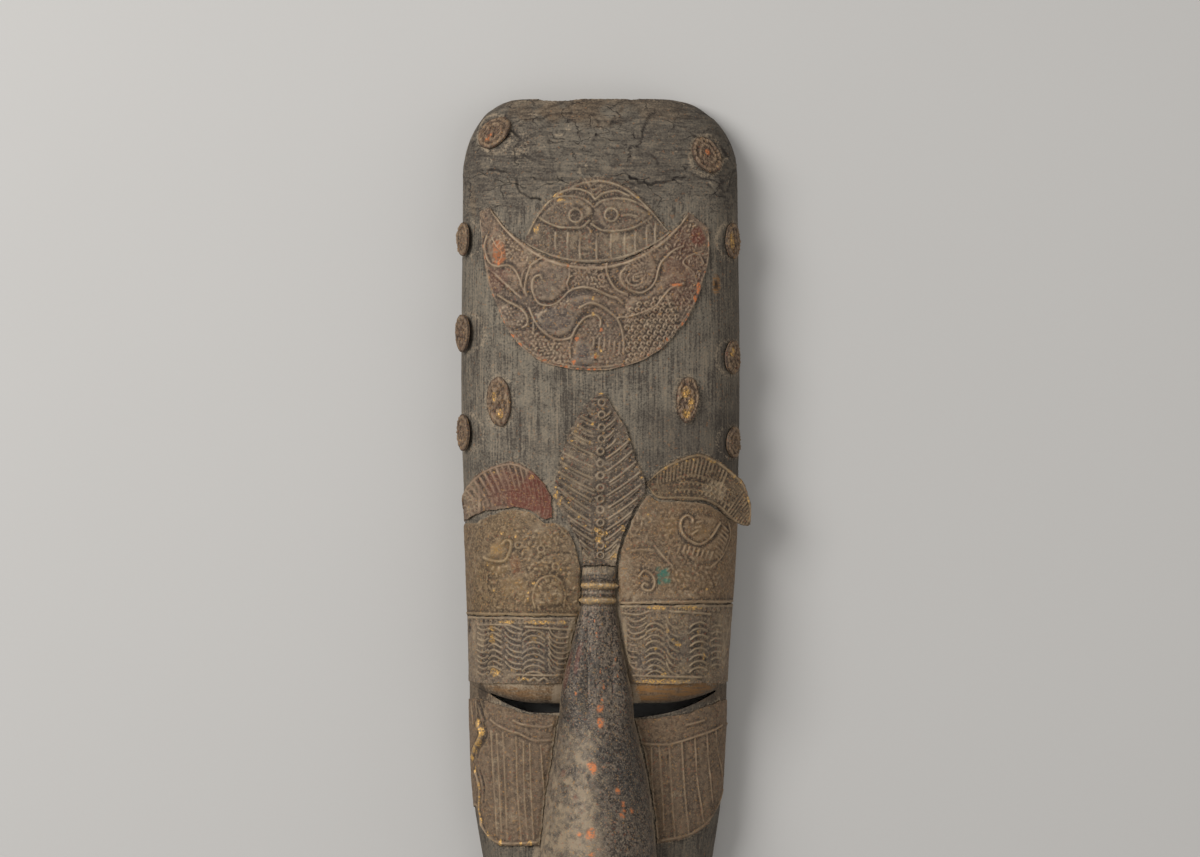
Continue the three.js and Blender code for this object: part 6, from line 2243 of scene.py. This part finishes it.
def band_sheets(face: Face) -> Iterator[Sheet]:
    """Lists the bands of combed waves over the lower parts of the eyelids."""
    metal = MetalFinish("band_brass_left", (52, 46, 40), (114, 99, 83), (126, 108, 87), (170, 150, 122),
                        line=0.6, seed=31)
    yield EyeBand(
        face, "eye_band_left", "brass", metal, 100, 190, 9,
        combs=(
            (((-79.5, 0.6), (-77, -0.9), (-75, -0.9), (-72.6, 0.6)), -31, 3.7, 9),
            (((-72.4, -1.2), (-70.5, 0.5), (-68.5, 0.7), (-66, -0.6), (-64.2, -1.6)), -31, 3.7, 9),
            (((-61.5, 2.2), (-59, -0.6), (-55.5, -2.4), (-51.6, -2.8)), -31.5, 3.9, 7),
            (((-50.5, -2.4), (-47.4, 0.2), (-43.6, 1), (-39.5, 0.4), (-36.6, -1.6)), -32.6, 3.9, 8),
            (((-33.8, 3), (-32, -0.8), (-28.6, -3.4), (-24, -4), (-21.6, -3.4)), -32.6, 3.5, 8),
        ),
        level_lines=(
            ((-86, -24.5), (-79, -24), (-67, -24), (-22, -24.4)),
            ((-79.5, -28.5), (-59.5, -28.5), (-56.5, -29.5), (-51, -31.5)),
            ((-48.5, -29.5), (-34, -30.5), (-19.5, -31.5)), ((-54, -61), (-28.5, -61.5)),
            ((-52, -65), (-49, -63), (-46, -65), (-43, -63), (-40, -65), (-37, -63), (-34, -65)),
        ),
        glints=(
            (-53, -63.5, 1.6, 1.2), (-50, -63.5, 1.2, 1), (-47, -64, 1.2, 1), (-56.5, -58, 1.6, 1.4),
            (-70, -37.5, 1.8, 3), (-43.5, -37.5, 2, 1.4), (-70, -31, 2.4, 1.6), (-40, -26.5, 8, 1.5),
            (-60, -26.5, 5, 1), (-68, -60, 4, 3), (-26, -26.5, 3, 1.2),
        ),
    )
    metal = MetalFinish("band_brass_right", (54, 46, 38), (109, 93, 77), (119, 102, 81), (166, 146, 116),
                        line=0.6, seed=37)
    yield EyeBand(
        face, "eye_band_right", "brass", metal, 112, 190, 10,
        side=1.0, head=-15.2, inner_top=13.2, inner_foot=20.5,
        combs=(
            (((18.8, 0.6), (21, -1.4), (24.4, -1.8), (28, -0.6), (30.4, 1.2)), -24, 4.0, 4),
            (((19, 0.4), (21, -0.8), (24.4, -1.0)), -41, 3.9, 4),
            (((30.6, -1.6), (33.4, 0.6), (36.8, 1.2), (40, 0), (42.4, -2.2)), -28.5, 3.9, 9),
            (((43.6, 3), (45, -0.6), (47.6, -3.6), (51.2, -5.2)), -25.5, 5.1, 7),
            (((58.6, -2), (61.4, 0.2), (65.2, 1), (68, 0.2), (69.6, -1)), -27.5, 4.3, 8),
            (((72.4, -1), (74.6, 0.2), (78.4, -0.4)), -29, 4.3, 7),
        ),
        level_lines=(
            ((49.5, -15.9), (60, -15.8), (86, -16.4)), ((46, -19.5), (56.5, -20), (71.5, -21.4)),
            ((15, -20.5), (26, -21.5), (32, -19.5)),
            ((17, -39), (18.5, -49), (20.5, -54.5), (25, -57.5), (33.5, -57.5)),
            ((22, -61.6), (45.5, -62.2), (66, -63)),
        ),
        glints=(
            (37.5, -17, 6, 1.5), (58, -17.4, 9, 1.2), (45.5, -22, 1, 1.6), (44, -31.5, 1.2, 1.6),
            (50.5, -41, 2, 1.6), (36.5, -43.5, 1.4, 1), (64, -33, 1.2, 1.6), (67.5, -49.5, 1.4, 4),
            (41.5, -60.5, 1.8, 1), (47.5, -38, 1.2, 1), (40, -65.4, 18, 1.4),
        ),
    )


def cheek_sheets(face: Face) -> Iterator[Sheet]:
    """Lists the sheets on the cheeks."""
    metal = MetalFinish("cheek_copper_left", (60, 48, 37), (114, 95, 76), (105, 87, 70), (152, 130, 102),
                        speckle=0.4, seed=41)
    yield CheekPlate(
        face, "cheek_plate_left", "copper", metal, 150, 140, 12,
        ((-77, -78.4), (-70, -80.4), (-60, -83.8), (-46, -87.6), (-27.6, -88)),
        ((-80.5, -150), (-75.5, -166), (-68, -173.5), (-60, -175), (-41.6, -174)),
        curves=(
            ((-71.5, -91.5), (-66.5, -95.5), (-60, -98.5), (-52, -101), (-44.5, -104.5), (-37, -105),
             (-31, -104.5)),
            ((-57, -92), (-50.5, -94.5), (-43.5, -95.5), (-35.5, -96), (-31, -94.5)),
        ),
        ridges=(
            ((-71, -99), (-69.6, -130), (-67, -168)), ((-63.4, -100), (-62, -135), (-60.4, -171)),
            ((-54.8, -103), (-53.8, -140), (-51.6, -171)), ((-45.9, -107), (-45, -140), (-43.4, -170)),
            ((-38.9, -108), (-37.6, -125), (-36.4, -140)), ((-67.4, -101), (-66, -130), (-64.2, -166)),
            ((-50, -106), (-49.4, -140), (-47.4, -170)),
        ),
        fold=(
            (-79.4, -94), (-77.1, -100.2), (-78.4, -105.9), (-81.3, -110.7), (-83.2, -117), (-81.3, -126),
            (-78.8, -136), (-79, -149), (-77.1, -160.6), (-72.7, -169), (-65, -173.4), (-46, -173),
        ),
    )
    metal = MetalFinish("cheek_copper_right", (56, 45, 36), (111, 91, 71), (100, 83, 66), (144, 122, 96),
                        dusty=0.2, speckle=0.4, seed=43)
    yield CheekPlate(
        face, "cheek_plate_right", "copper", metal, 150, 136, 13,
        ((78, -79.4), (68, -83.6), (56, -87.4), (42, -89.8), (27, -90.6)),
        ((80, -140), (76, -152), (68, -163), (58, -169.5), (40.5, -173)),
        side=1.0,
        curves=(
            ((28.5, -107), (37, -107.5), (45.5, -107.5), (53.5, -105.5), (63, -102.5), (70.5, -100),
             (79.5, -95.5)),
            ((56.5, -95), (62, -93.5), (68, -92)),
        ),
        ridges=(
            ((33.5, -110), (34.5, -140), (38, -170)), ((38.9, -109), (40.4, -135), (41.6, -164)),
            ((45.4, -108.6), (47, -140), (48.8, -170)), ((53.6, -106), (55.6, -140), (58, -167)),
            ((62, -104), (64, -135), (67.4, -159)), ((69.6, -101), (71.4, -125), (73.2, -147)),
            ((75, -98), (77, -115), (79.6, -130)),
        ),
    )


def nose_sheets(face: Face) -> Iterator[Sheet]:
    """Lists the sheet over the nose."""
    metal = MetalFinish("nose_dark_copper", (34, 31, 29), (98, 87, 76), (66, 61, 56), (156, 138, 114),
                        metal=0.35, rough=0.5, dusty=0.3, speckle=0.9, flecks=0.45, seed=47)
    yield NoseSheath(face, "nose_sheath", "dark_copper", metal, 260, 116, 14)


def outlines(face: Face, sheets: Sequence[Sheet], ovals: Sequence[Rosette]) -> list[tuple[Array, float]]:
    """Finds the edges of the sheets, where dust lies on the wood.

    Args:
        face: the wood's face.
        sheets: the sheets.
        ovals: the rosettes.

    Returns:
        The points of each edge with how dusty it is.
    """
    found = []
    run, low, high = np.linspace(0, 1, 60), np.zeros(60), np.ones(60)
    for sheet in sheets:
        if not isinstance(sheet, NoseSheath):
            sides = [sheet.place(u, v) for u, v in ((run, low), (run, high), (low, run), (high, run))]
            far, y = np.concatenate(sides, axis=1)
            found.append((sheet.ground(far, y, np.full_like(y, 0.5)), 0.6))
    angle = np.linspace(0, 2 * math.pi, 61)
    for oval in ovals:
        x, y = oval.x + oval.half * np.cos(angle), oval.y + oval.tall * np.sin(angle)
        found.append((face.skin(face.across_at(x, y), y), 0.75 if "top" in oval.node else 0.6))
    return found


def main() -> None:
    """Builds and dresses the mask, and sets up the studio."""
    logging.basicConfig(level=logging.INFO, format="%(message)s")
    face = Face()
    lists = forehead_sheets, brow_sheets, lid_sheets, band_sheets, cheek_sheets, nose_sheets
    sheets = [sheet for listed in lists for sheet in listed(face)]
    ovals = list(rosettes(face))
    MaskBody(face).build(outlines(face, sheets, ovals))
    for piece in (*sheets, *ovals):
        piece.build()
    studio = Studio()
    studio.lay_floor()
    studio.light()
    studio.set_camera()


if __name__ == "__main__":
    main()
